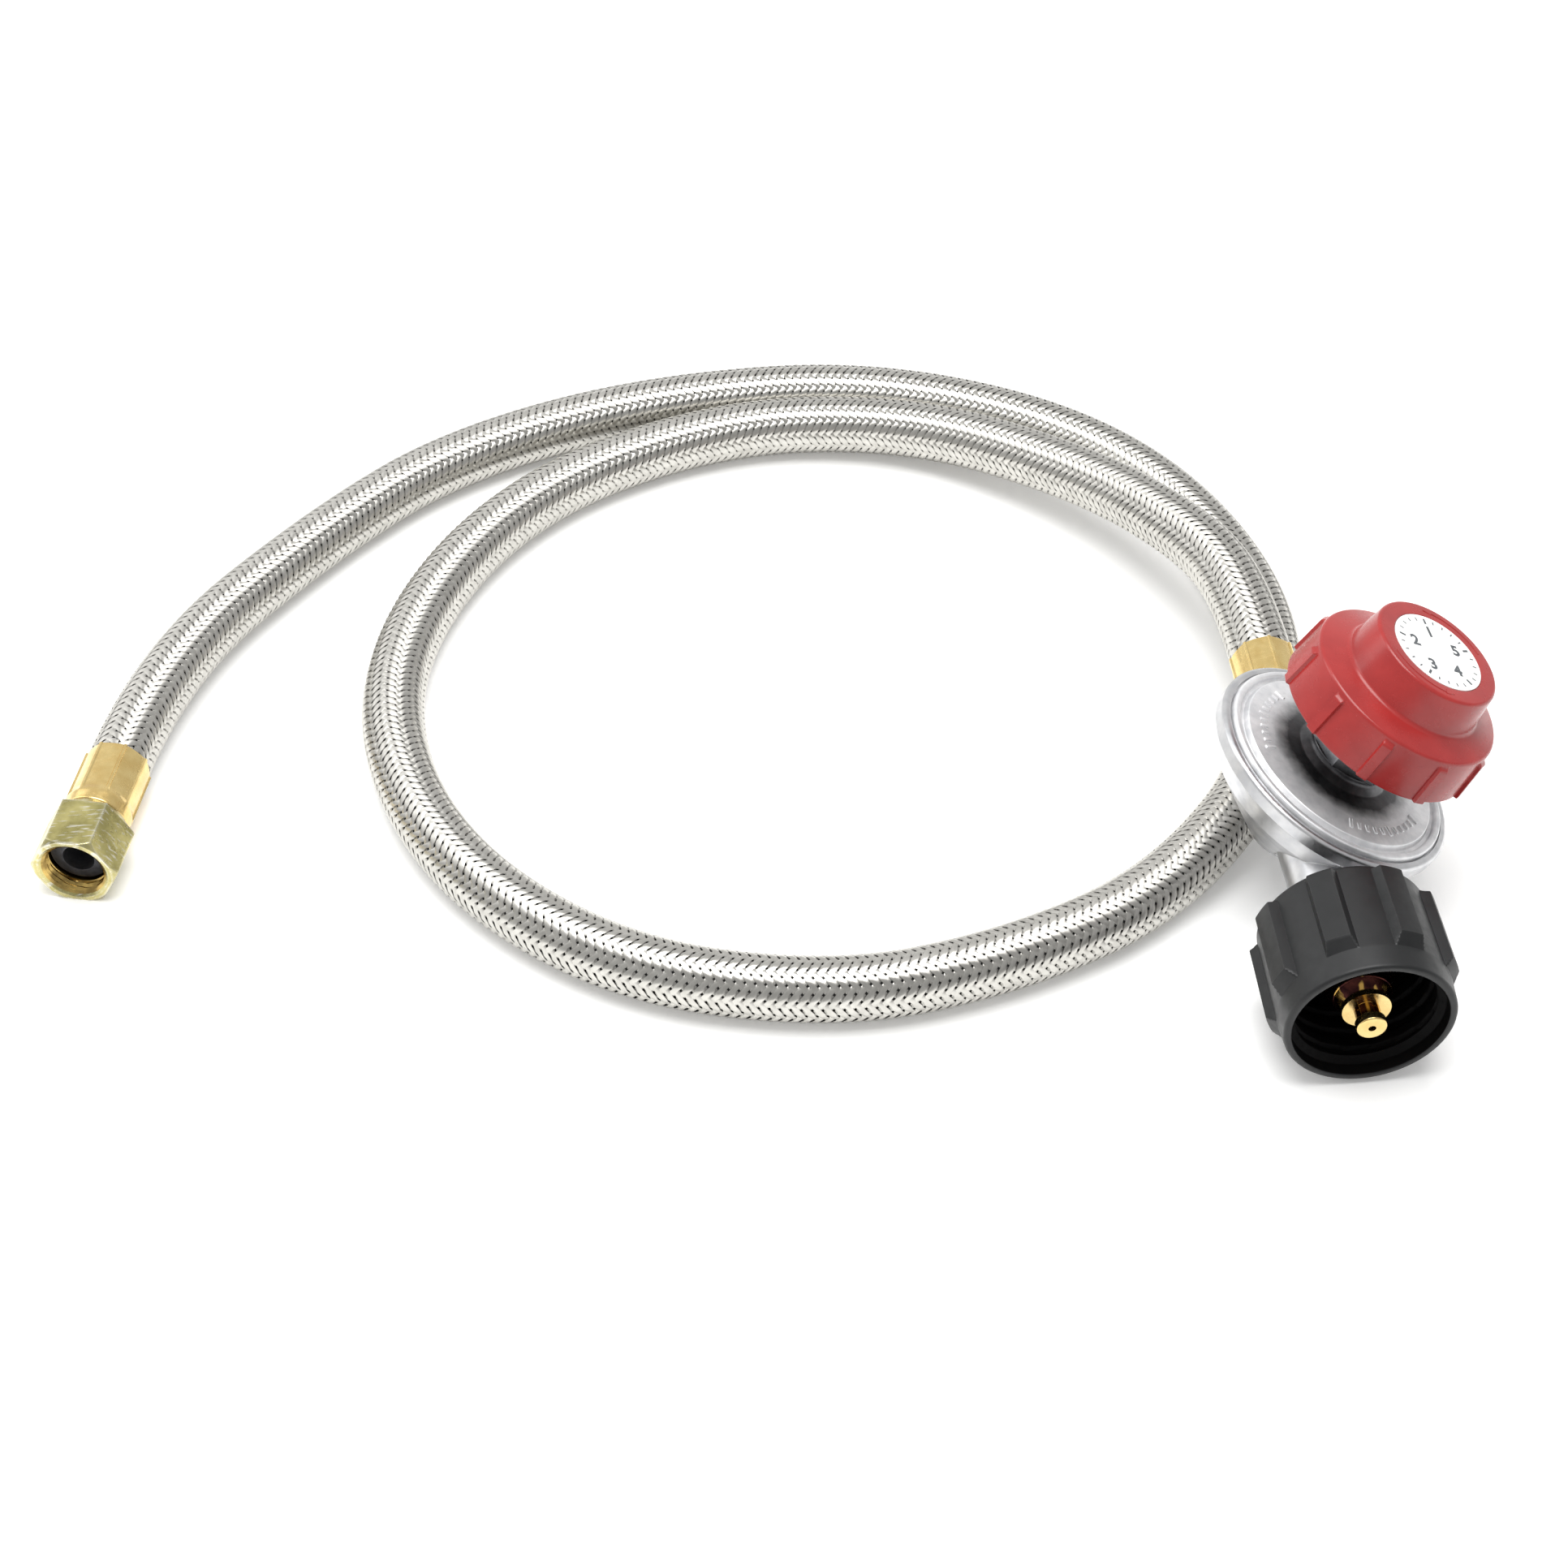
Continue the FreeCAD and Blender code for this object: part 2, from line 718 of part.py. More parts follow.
def bonnet():
    """Die-cast cover: flange under the rolled lip, bead ring, groove, step and neck."""
    body = new_body("bonnet")
    flange_radius = rim_bore - d.running_gap
    bead_radius = d.rim_radius - d.bead_inset
    bead_out = bead_radius + d.bead_half_width
    bead_in = bead_radius - d.bead_half_width
    bead_crest = rim_top + d.bead_rise
    bead_foot = bead_crest - d.bead_half_width
    groove_floor = rim_top - d.groove_drop
    step_radius = d.rim_radius - d.step_inset
    neck_foot = rim_top + d.neck_foot_rise
    revolved(body, [
        (chamber_radius, diaphragm_top),
        (flange_radius, diaphragm_top),
        (flange_radius, flange_top),
        (bead_out, flange_top),
        (bead_out, bead_foot),
        (bead_radius, bead_crest, d.bead_half_width),
        (bead_in, bead_foot, d.bead_half_width),
        (bead_in, groove_floor),
        (step_radius + d.step_bevel, groove_floor),
        (step_radius, rim_top + d.step_rise),
        (d.neck_foot_radius, neck_foot),
        (d.bonnet_neck_radius, neck_foot + d.neck_cove_height, -d.neck_cove),
        (d.bonnet_neck_radius, bonnet_top),
        (d.bonnet_bore, bonnet_top),
        (d.bonnet_bore, bonnet_ceiling),
        (chamber_radius - d.moulded_edge, bonnet_ceiling),
        (chamber_radius, bonnet_ceiling - d.moulded_edge),
    ])
    wide = circle(new_sketch(body, "XY_Plane", vent_floor, float(d.vent_angle)),
                  d.vent_distance, 0, d.vent_radius)
    pocketed(body, wide, bonnet_top, False, True)
    narrow = circle(new_sketch(body, "XY_Plane", d.chamber_shoulder, float(d.vent_angle)),
                    d.vent_distance, 0, d.vent_hole)
    pocketed(body, narrow, bonnet_top, False, True)
    return body, REGULATOR


def vent_screen():
    """Round screen in the counterbore of the breather hole."""
    body = new_body("vent_screen")
    disc = circle(new_sketch(body, "XY_Plane", vent_floor, float(d.vent_angle)),
                  d.vent_distance, 0, d.vent_radius - d.running_gap)
    padded(body, disc, d.screen_thickness)
    return body, REGULATOR


def bonnet_bushing():
    """Bushing with a hexagon that the adjusting screw turns in."""
    body = new_body("bonnet_bushing")
    hex_top = bonnet_top + d.bushing_hex
    bushing_top = hex_top + d.bushing_neck
    spigot_end = bonnet_top - d.spigot_length
    sketch = new_sketch(body, "XY_Plane", bonnet_top, float(d.bushing_turn))
    hexagon = outline(sketch, hexagon_points(d.bushing_flats))
    padded(body, hexagon, d.bushing_hex)
    revolved(body, [
        (0, spigot_end),
        (d.bonnet_bore - d.press_gap, spigot_end),
        (d.bonnet_bore - d.press_gap, bonnet_top),
        (d.bushing_neck_radius, bonnet_top),
        (d.bushing_neck_radius, bushing_top - d.broad_edge),
        (d.bushing_neck_radius - d.broad_edge, bushing_top),
        (0, bushing_top),
    ])
    corner = d.bushing_flats / SPLIT
    grooved(body, [
        (d.bushing_flats * 0.5 - d.fine_edge, hex_top + d.loose_gap),
        (corner + d.broad_edge, hex_top - d.hex_chamfer),
        (corner + d.broad_edge, hex_top + d.loose_gap),
    ])
    grooved(body, [
        (0, spigot_end - d.cut_margin),
        (d.screw_bore, spigot_end - d.cut_margin),
        (d.screw_bore, bushing_top + d.cut_margin),
        (0, bushing_top + d.cut_margin),
    ])
    return body, REGULATOR


def diaphragm():
    """Rubber disc clamped between the ledge and the bonnet's flange."""
    body = new_body("diaphragm")
    radius = rim_bore - d.diaphragm_play
    revolved(body, [
        (d.stem_radius + d.running_gap, d.ledge_height),
        (radius, d.ledge_height),
        (radius, diaphragm_top),
        (d.stem_radius + d.running_gap, diaphragm_top),
    ])
    return body, REGULATOR


def diaphragm_plate():
    """Round plate on the diaphragm, under the spring."""
    body = new_body("diaphragm_plate")
    revolved(body, [
        (d.stem_radius + d.running_gap, diaphragm_top),
        (d.plate_radius, diaphragm_top),
        (d.plate_radius, plate_top - d.fine_edge),
        (d.plate_radius - d.fine_edge, plate_top),
        (d.stem_radius + d.running_gap, plate_top),
    ])
    return body, REGULATOR


def diaphragm_stem():
    """Bolt through the plate, with the window that holds the lever's end."""
    body = new_body("diaphragm_stem")
    revolved(body, [
        (0, d.stem_bottom),
        (d.stem_radius, d.stem_bottom),
        (d.stem_radius, d.ledge_height - d.stem_collar),
        (d.stem_collar_radius, d.ledge_height - d.stem_collar),
        (d.stem_collar_radius, d.ledge_height),
        (d.stem_radius, d.ledge_height),
        (d.stem_radius, plate_top),
        (d.stem_head_radius, plate_top),
        (d.stem_head_radius - d.fine_edge, plate_top + d.stem_head),
        (0, plate_top + d.stem_head),
    ])
    window = outline(new_sketch(body, "XZ_Plane"), box_points(
        -d.slot_half_width,
        d.slot_half_width,
        d.lever_reach_height - d.window_half_height,
        d.lever_reach_height + d.window_half_height,
    ))
    pocketed(body, window, (d.stem_radius + d.cut_margin) * 2, True)
    return body, REGULATOR


def lever():
    """Bell crank: its long arm ends in the stem's window and its tip in the slider's slot."""
    body = new_body("lever")
    half = d.lever_half_width
    riser = -d.lever_riser_reach
    arms = outline(new_sketch(body, "YZ_Plane"), [
        (-d.pivot_reach - half, pivot_height - half),
        (riser + half, pivot_height - half),
        (riser + half, d.lever_reach_height - half),
        (0, d.lever_reach_height - half),
        (0, d.lever_reach_height + half),
        (riser - half, d.lever_reach_height + half),
        (riser - half, pivot_height + half),
        (-d.pivot_reach + half, pivot_height + half),
        (-d.pivot_reach + half, 0),
        (-d.pivot_reach - half, 0),
    ])
    padded(body, arms, d.lever_thickness, True)
    tip = circle(new_sketch(body, "YZ_Plane"), -d.pivot_reach, 0, d.lever_tip_radius)
    padded(body, tip, d.lever_thickness, True)
    end = circle(new_sketch(body, "YZ_Plane"), 0, d.lever_reach_height, d.lever_end_radius)
    padded(body, end, d.lever_thickness, True)
    hub = circle(new_sketch(body, "YZ_Plane"), -d.pivot_reach, pivot_height, d.lever_hub_radius)
    padded(body, hub, d.lever_hub_width, True)
    bore = circle(new_sketch(body, "YZ_Plane"), -d.pivot_reach, pivot_height, d.pin_radius + d.running_gap)
    pocketed(body, bore, d.lever_hub_width + d.cut_margin * 2, True)
    return body, REGULATOR


def lever_pin():
    """The lever's pivot, held in both ears."""
    body = new_body("lever_pin")
    section = circle(new_sketch(body, "YZ_Plane"), -d.pivot_reach, pivot_height, d.pin_radius)
    padded(body, section, d.pin_length, True)
    return body, REGULATOR


def valve_slider():
    """Round slider in the guide, with a slot for the lever's tip and a cup for the seat."""
    body = new_body("valve_slider")
    radius = d.guide_bore_radius - d.running_gap
    revolved(body, [
        (-slider_end, d.seat_disc_radius + d.running_gap),
        (-slider_cup, d.seat_disc_radius + d.running_gap),
        (-slider_cup, 0),
        (-d.slider_start, 0),
        (-d.slider_start, radius),
        (-slider_end, radius),
    ], "H_Axis", "YZ_Plane")
    slot = outline(new_sketch(body, "YZ_Plane"), box_points(
        -slot_far,
        -slot_near,
        -d.guide_bore_radius - d.cut_margin,
        d.lever_tip_radius + d.seat_gap * 2,
    ))
    pocketed(body, slot, d.slot_half_width * 2, True)
    return body, REGULATOR


def seat_disc():
    """Rubber disc in the slider's cup."""
    body = new_body("seat_disc")
    revolved(body, [
        (-slider_cup - d.seat_disc_thickness, 0),
        (-slider_cup, 0),
        (-slider_cup, d.seat_disc_radius),
        (-slider_cup - d.seat_disc_thickness, d.seat_disc_radius),
    ], "H_Axis", "YZ_Plane")
    return body, REGULATOR


def inlet_orifice():
    """Brass seat with a small nose that the rubber disc closes."""
    body = new_body("inlet_orifice")
    plug_start = seat_start + d.broad_edge
    tip = slider_cup + d.seat_disc_thickness + d.seat_gap
    revolved(body, [
        (-orifice_end, d.orifice_bore),
        (-tip, d.orifice_bore),
        (-tip, d.orifice_bore + d.orifice_lip),
        (-tip - d.orifice_taper, d.orifice_nose_radius),
        (-plug_start, d.orifice_nose_radius),
        (-plug_start, d.seat_bore_radius - d.running_gap),
        (-orifice_end, d.seat_bore_radius - d.running_gap),
    ], "H_Axis", "YZ_Plane")
    return body, REGULATOR


def inlet_nipple():
    """Brass nipple: threaded tail, stem, shoulder, dome and the chamber of the poppet."""
    body = new_body("inlet_nipple")
    revolved(body, [
        (d.nipple_bore, orifice_end + d.edge),
        (d.inlet_thread_radius - d.running_gap, orifice_end + d.edge),
        (d.inlet_thread_radius - d.running_gap, inlet_boss_length),
        (d.nipple_stem_radius, inlet_boss_length),
        (d.nipple_stem_radius, shoulder_start),
        (d.nipple_shoulder_radius - d.edge, shoulder_start),
        (d.nipple_shoulder_radius, shoulder_start + d.edge),
        (d.nipple_shoulder_radius, shoulder_end),
        (d.dome_radius, dome_end, d.dome_round),
        (d.nipple_nose_radius, nose_start),
        (d.nipple_nose_radius, nipple_end - d.nose_round),
        (d.nipple_nose_radius - d.nose_round, nipple_end, d.nose_round),
        (d.nipple_chamber, nipple_end),
        (d.nipple_chamber, nipple_chamber_start),
        (d.nipple_bore, nipple_chamber_start),
    ])
    return body, INLET


def thermal_bushing():
    """Bush with a flange: the nut pulls on it, and it pulls on the nipple's shoulder."""
    body = new_body("thermal_bushing")
    bore = d.nipple_stem_radius + d.running_gap
    radius = d.nipple_stem_radius + d.bush_wall
    foot = nut_rear + d.loose_gap
    flange_start = nut_wall_top + d.loose_gap
    flange_end = flange_start + d.bush_flange
    revolved(body, [
        (bore, foot),
        (radius, foot),
        (radius, flange_start),
        (d.bush_flange_radius, flange_start),
        (d.bush_flange_radius, flange_end),
        (bore, flange_end),
    ])
    return body, INLET


def nipple_probe():
    """Brass nose: threaded foot, cone, ring, slotted stem and a drilled tip."""
    body = new_body("nipple_probe")
    foot = d.nipple_chamber - d.running_gap
    thread_start = nipple_end - d.probe_thread_length
    ring_start = nipple_end + d.probe_cone_length
    ring_end = ring_start + d.probe_ring_length
    tip_start = ring_end + d.probe_stem_length
    tip_end = tip_start + d.probe_tip_length
    revolved(body, [
        (d.probe_hole, thread_start),
        (foot, thread_start),
        (foot, nipple_end),
        (d.probe_cone_radius, nipple_end),
        (d.probe_cone_radius - d.probe_cone_step, ring_start),
        (d.probe_ring_radius, ring_start),
        (d.probe_ring_radius, ring_end),
        (d.probe_stem_radius, ring_end),
        (d.probe_stem_radius, tip_start),
        (d.probe_tip_radius, tip_start + d.edge),
        (d.probe_tip_radius, tip_end - d.broad_edge),
        (d.probe_tip_radius - d.broad_edge, tip_end, d.broad_edge),
        (d.probe_hole, tip_end),
    ])
    slot = outline(new_sketch(body, "XY_Plane", ring_end), box_points(
        d.probe_stem_radius - d.probe_slot_depth,
        d.probe_stem_radius + d.cut_margin * 2,
        -d.probe_slot_width * 0.5,
        d.probe_slot_width * 0.5,
    ))
    cut = pocketed(body, slot, d.probe_stem_length, False, True)
    patterned(body, cut, d.probe_slots)
    return body, INLET


def flow_poppet():
    """Excess-flow poppet, a cup with small holes in its face."""
    body = new_body("flow_poppet")
    radius = d.nipple_chamber - d.running_gap
    end = poppet_start + d.poppet_length
    revolved(body, [
        (0, poppet_start + d.poppet_cup),
        (d.poppet_cup_radius, poppet_start + d.poppet_cup),
        (d.poppet_cup_radius, poppet_start),
        (radius, poppet_start),
        (radius, end - d.poppet_chamfer),
        (radius - d.poppet_chamfer, end),
        (0, end),
    ])
    hole = circle(new_sketch(body, "XY_Plane", poppet_start), d.poppet_hole_distance, 0, d.poppet_hole_radius)
    cut = pocketed(body, hole, d.poppet_length + d.cut_margin, False, True)
    patterned(body, cut, d.poppet_holes)
    return body, INLET


def hand_nut():
    """Ribbed hand nut: lead-in step, thread, relief and rear wall, with eight raised ribs."""
    body = new_body("hand_nut")
    rim_radius = d.nut_radius - d.nut_rim_step
    mouth_radius = d.nut_radius - d.nut_mouth_wall
    thread_radius = mouth_radius - d.nut_thread_height
    relief_radius = thread_radius + d.nut_relief
    hole_radius = d.nipple_stem_radius + d.bush_wall + d.loose_gap
    rib_front = nut_mouth - d.nut_rib_front
    rib_toe = nut_mouth - d.nut_rib_toe
    thread_end = nut_mouth - d.nut_thread_end
    lip_end = nut_mouth - d.nut_lip_depth
    revolved(body, [
        (0, nut_rear),
        (rim_radius - d.moulded_edge, nut_rear),
        (rim_radius, nut_rear + d.moulded_edge, d.moulded_edge),
        (d.nut_radius, rib_toe),
        (rim_radius, nut_mouth - d.moulded_edge),
        (rim_radius - d.moulded_edge, nut_mouth, d.moulded_edge),
        (0, nut_mouth),
    ])
    root = d.nut_radius - d.nut_rib_root
    base = d.nut_rib_base * 0.5
    top = d.nut_rib_top * 0.5
    half_step = 180.0 / DIMENSIONS["nut_ribs"]
    rib_sketch = new_sketch(body, "XY_Plane", nut_rear + d.nut_rib_rear, half_step)
    outline(rib_sketch, [
        (root, -base),
        (d.nut_radius, -base),
        (nut_rib_radius, -top),
        (nut_rib_radius, top),
        (d.nut_radius, base),
        (root, base),
    ])
    rib = padded(body, rib_sketch, d.nut_length - d.nut_rib_rear - d.nut_rib_toe)
    patterned(body, rib, d.nut_ribs)
    grooved(body, [
        (nut_rib_radius, rib_front),
        (nut_rib_radius + d.cut_margin, rib_front),
        (nut_rib_radius + d.cut_margin, rib_toe + d.broad_edge),
        (d.nut_radius + d.press_gap, rib_toe),
    ])
    grooved(body, [
        (0, nut_rear - d.cut_margin),
        (hole_radius, nut_rear - d.cut_margin),
        (hole_radius, nut_wall_top),
        (relief_radius, nut_wall_top),
        (relief_radius, thread_end - d.nut_relief),
        (thread_radius, thread_end),
        (thread_radius, lip_end - d.nut_lip_bevel),
        (mouth_radius, lip_end),
        (mouth_radius, nut_mouth - d.edge),
        (mouth_radius + d.edge, nut_mouth),
        (mouth_radius + d.edge, nut_mouth + d.cut_margin),
        (0, nut_mouth + d.cut_margin),
    ])
    return body, NUT


def control_knob():
    """Moulded knob: ribbed skirt, cove, stepped cap, and a hub with a square socket."""
    body = new_body("control_knob")
    ceiling = skirt_top - d.skirt_plate
    inner = d.skirt_radius - d.skirt_wall
    skirt_top_radius = d.skirt_radius - d.skirt_taper
    cap_foot_radius = d.cap_radius + d.cap_foot_step
    cap_inner = d.cap_radius - d.cap_wall
    screw_hole = d.knob_screw_radius + d.loose_gap
    head_hole = d.knob_screw_head + d.loose_gap
    revolved(body, [
        (screw_hole, screw_top),
        (d.hub_radius, screw_top),
        (d.hub_radius, cap_inside),
        (cap_inner, cap_inside),
        (cap_inner + d.edge, skirt_top),
        (inner - d.edge, ceiling),
        (inner, d.skirt_bottom),
        (d.skirt_radius, d.skirt_bottom),
        (skirt_top_radius, skirt_top),
        (skirt_top_radius - d.shoulder_setback, shoulder_outer_height, d.shoulder_round),
        (cap_foot_radius + d.cove_width, shoulder_inner_height),
        (cap_foot_radius, cap_foot_height, -d.cove_radius),
        (d.cap_radius, cap_top - d.cap_round),
        (d.cap_radius - d.cap_round, cap_top, d.cap_round),
        (d.label_radius + d.label_gap, cap_top),
        (d.label_radius + d.label_gap, label_floor),
        (head_hole, label_floor),
        (head_hole, screw_seat),
        (screw_hole, screw_seat),
    ])
    half_socket = d.head_square * 0.5 + d.press_gap
    socket = outline(new_sketch(body, "XY_Plane", screw_top), box_points(
        -half_socket, half_socket, -half_socket, half_socket))
    pocketed(body, socket, d.head_height + d.loose_gap, False, True)
    rib_sketch = new_sketch(body, "XY_Plane", d.skirt_bottom, float(d.knob_rib_turn))
    rib_radius = d.skirt_radius + d.knob_rib_height
    rib_top = skirt_top - d.knob_rib_drop
    outline(rib_sketch, box_points(
        skirt_top_radius - d.knob_rib_root,
        rib_radius,
        -d.knob_rib_width * 0.5,
        d.knob_rib_width * 0.5,
    ))
    rib = padded(body, rib_sketch, rib_top - d.skirt_bottom)
    patterned(body, rib, d.knob_ribs)
    grooved(body, [
        (rib_radius, d.skirt_bottom),
        (rib_radius + d.cut_margin, d.skirt_bottom),
        (rib_radius + d.cut_margin, rib_top + d.broad_edge),
        (skirt_top_radius + d.loose_gap, rib_top + d.loose_gap),
        (skirt_top_radius + d.knob_rib_height, rib_top - d.moulded_edge),
    ])
    return body, REGULATOR


def knob_label():
    """Round disc in the recess on top of the knob."""
    body = new_body("knob_label")
    padded(body, circle(new_sketch(body, "XY_Plane", label_floor), 0, 0, d.label_radius), d.label_thickness)
    return body, REGULATOR


def knob_screw():
    """Screw that holds the knob on the square head."""
    body = new_body("knob_screw")
    tip = screw_seat - d.knob_screw_length
    head_top = screw_seat + d.knob_screw_head_height
    revolved(body, [
        (0, tip),
        (d.knob_screw_radius, tip),
        (d.knob_screw_radius, screw_seat),
        (d.knob_screw_head, screw_seat),
        (d.knob_screw_head, head_top - d.broad_edge),
        (d.knob_screw_head - d.broad_edge, head_top),
        (0, head_top),
    ])
    return body, REGULATOR


def adjusting_screw():
    """Threaded screw with a square head for the knob."""
    body = new_body("adjusting_screw")
    thread = d.screw_bore - d.running_gap
    revolved(body, [
        (0, d.screw_bottom),
        (thread - d.broad_edge, d.screw_bottom),
        (thread, d.screw_bottom + d.broad_edge),
        (thread, screw_top - d.broad_edge),
        (thread - d.broad_edge, screw_top),
        (0, screw_top),
    ])
    half_head = d.head_square * 0.5
    head = outline(new_sketch(body, "XY_Plane", screw_top), box_points(
        -half_head, half_head, -half_head, half_head))
    padded(body, head, d.head_height)
    hole = circle(new_sketch(body, "XY_Plane", screw_top + d.head_height),
                  0, 0, d.knob_screw_radius + d.running_gap)
    pocketed(body, hole, d.knob_screw_length)
    return body, REGULATOR


def spring_button():
    """Button that the screw pushes down on the spring, with a nose inside the coils."""
    body = new_body("spring_button")
    radius = d.screw_bore - d.loose_gap
    top = d.screw_bottom - d.running_gap
    revolved(body, [
        (0, button_bottom - d.button_nose),
        (d.button_nose_radius - d.broad_edge, button_bottom - d.button_nose),
        (d.button_nose_radius, button_bottom - d.button_nose + d.broad_edge),
        (d.button_nose_radius, button_bottom),
        (radius, button_bottom),
        (radius, top - d.edge),
        (radius - d.edge, top),
        (0, top),
    ])
    return body, REGULATOR


def outlet_stem():
    """Brass insert from the body's outlet into the hose."""
    body = new_body("outlet_stem")
    thread_start = outlet_boss_length - d.outlet_thread_depth + d.fine_edge
    thread_radius = d.outlet_thread_radius - d.running_gap
    tail_end = ferrule_start + d.ferrule_length - d.tail_gap
    revolved(body, [
        (d.stem_bore, thread_start),
        (thread_radius, thread_start),
        (thread_radius, outlet_boss_length),
        (d.neck_radius, outlet_boss_length),
        (d.neck_radius, ferrule_start + d.ferrule_end),
        (d.tail_radius, ferrule_start + d.ferrule_end),
        (d.tail_radius, tail_end),
        (d.stem_bore, tail_end),
    ])
    return body, OUTLET


def ferrule(name, start, place):
    """Crimped ferrule: a cup with a smooth collar and eight flats pressed along it."""
    body = new_body(name)
    end = start + d.ferrule_length
    collar = ferrule_radius - d.collar_step
    bore = ferrule_radius - d.ferrule_wall
    crimp_start = start + d.collar_length
    revolved(body, [
        (d.neck_radius + d.running_gap, start),
        (collar - d.broad_edge, start),
        (collar, start + d.broad_edge, d.broad_edge),
        (collar, crimp_start - d.collar_step),
        (ferrule_radius, crimp_start),
        (ferrule_radius, end - d.edge),
        (ferrule_radius - d.edge, end),
        (bore, end),
        (bore, start + d.ferrule_end),
        (d.neck_radius + d.running_gap, start + d.ferrule_end),
    ])
    flat = outline(new_sketch(body, "XY_Plane", crimp_start + d.moulded_edge), box_points(
        ferrule_radius - d.crimp_depth,
        ferrule_radius + d.cut_margin,
        -d.crimp_width * 0.5,
        d.crimp_width * 0.5,
    ))
    cut = pocketed(body, flat, d.ferrule_length, False, True)
    patterned(body, cut, d.crimp_count)
    return body, place


def outlet_ferrule():
    return ferrule("outlet_ferrule", ferrule_start, OUTLET)


def end_ferrule():
    return ferrule("end_ferrule", far_ferrule_start, FAR)


def end_stem():
    """Far insert: crowned seat with a bore, a flange that holds the nut, neck and tail."""
    body = new_body("end_stem")
    flange_radius = d.flare_thread_radius - d.seat_play
    flange_end = d.flare_length - d.flare_wall - d.seat_gap * 2
    front = flange_end - d.seat_flange
    tail_end = far_ferrule_start + d.ferrule_length - d.tail_gap
    revolved(body, [
        (d.seat_hole, front + d.seat_bore_depth),
        (d.seat_mouth, front + d.seat_bore_depth),
        (d.seat_mouth, front - d.seat_crown),
        (flange_radius, front),
        (flange_radius, flange_end),
        (d.neck_radius, flange_end),
        (d.neck_radius, far_ferrule_start + d.ferrule_end),
        (d.tail_radius, far_ferrule_start + d.ferrule_end),
        (d.tail_radius, tail_end),
        (d.seat_hole, tail_end),
    ])
    return body, FAR


def flare_nut():
    """Hexagonal swivel nut: chamfered mouth, thread, relief and a rear wall round the neck."""
    body = new_body("flare_nut")
    past_corner = d.flare_flats / SPLIT + d.cut_margin
    half_flats = d.flare_flats * 0.5
    face_radius = half_flats + d.flare_face_bevel
    rear_radius = half_flats - d.flare_rear_bevel
    mouth_radius = d.flare_thread_radius + d.flare_mouth_step
    relief_radius = d.flare_thread_radius + d.flare_relief
    wall_start = d.flare_length - d.flare_wall
    hexagon = outline(new_sketch(body, "XY_Plane"), hexagon_points(d.flare_flats))
    padded(body, hexagon, d.flare_length)
    grooved(body, [
        (face_radius, -d.cut_margin),
        (past_corner, -d.cut_margin),
        (past_corner, d.flare_chamfer),
        (face_radius, 0),
    ])
    grooved(body, [
        (rear_radius, d.flare_length + d.cut_margin),
        (rear_radius, d.flare_length),
        (past_corner, d.flare_length - d.flare_rear_chamfer),
        (past_corner, d.flare_length + d.cut_margin),
    ])
    grooved(body, [
        (0, -d.cut_margin),
        (mouth_radius, -d.cut_margin),
        (mouth_radius, 0),
        (d.flare_thread_radius, d.flare_mouth_chamfer),
        (d.flare_thread_radius, d.flare_thread_depth - d.edge),
        (relief_radius, d.flare_thread_depth),
        (relief_radius, wall_start),
        (d.neck_radius + d.loose_gap, wall_start),
        (d.neck_radius + d.loose_gap, d.flare_length + d.cut_margin),
        (0, d.flare_length + d.cut_margin),
    ])
    return body, FAR


# wound and drawn pieces


def coil_point(radius, low, rise, angle):
    return Vector(radius * math.cos(angle), radius * math.sin(angle), low + rise * angle / (2 * math.pi))


def coil_direction(radius, rise, angle):
    slope = rise / (2 * math.pi)
    way = Vector(-radius * math.sin(angle), radius * math.cos(angle), slope)
    way.normalize()
    return way


def biarc(first, first_way, last, last_way):
    """Two arcs that leave and arrive along the given directions."""
    chord = last - first
    total = first_way + last_way
    spread = 2 * (1 - first_way.dot(last_way))
    along = chord.dot(total)
    reach = (math.sqrt(along * along + spread * chord.dot(chord)) - along) / spread
    near = first + first_way * reach
    far = last - last_way * reach
    middle = (near + far) * 0.5
    return [tangent_arc(first, near, middle), tangent_arc(middle, far, last)]


def tangent_arc(start, corner, end):
    """The arc from start to end that touches both lines through the corner."""
    leg = corner - start
    leg.normalize()
    chord = end - start
    chord.normalize()
    weight = leg.dot(chord)
    middle = (start + corner * (2 * weight) + end) * (1 / (2 + 2 * weight))
    return Part.Arc(start, middle, end).toShape()


def coil(name, mean_radius, wire, low, high, turns, place):
    """A wound spring of round wire about its own Z axis."""
    rise = (high - low - wire) / turns
    edges = []
    step = math.pi / 2
    for index in range(4 * turns):
        ends = [index * step, (index + 1) * step]
        points = [coil_point(mean_radius, low + wire / 2, rise, angle) for angle in ends]
        ways = [coil_direction(mean_radius, rise, angle) for angle in ends]
        edges += biarc(points[0], ways[0], points[1], ways[1])
    spine = Part.Wire(edges)
    start = coil_point(mean_radius, low + wire / 2, rise, 0)
    section = Part.Wire(Part.Circle(start, coil_direction(mean_radius, rise, 0), wire / 2).toShape())
    shell = Part.BRepOffsetAPI.MakePipeShell(spine)
    shell.add(section)
    shell.build()
    shell.makeSolid()
    print("%s: least gap between turns %.2f mm" % (name, rise - wire))
    return drawn(name, Part.Solid(shell.shape()), place)


def drawn(name, shape, place):
    """A sub-part whose shape is made here."""
    made = doc.addObject("Part::Feature", name)
    made.Label = name
    made.Shape = shape
    made.Placement = place
    return made, place


def main_spring():
    gap = float(d.running_gap)
    return coil("main_spring", float(d.spring_mean_radius), float(d.spring_wire), float(plate_top) + gap,
                float(button_bottom) - gap, DIMENSIONS["spring_turns"], REGULATOR)


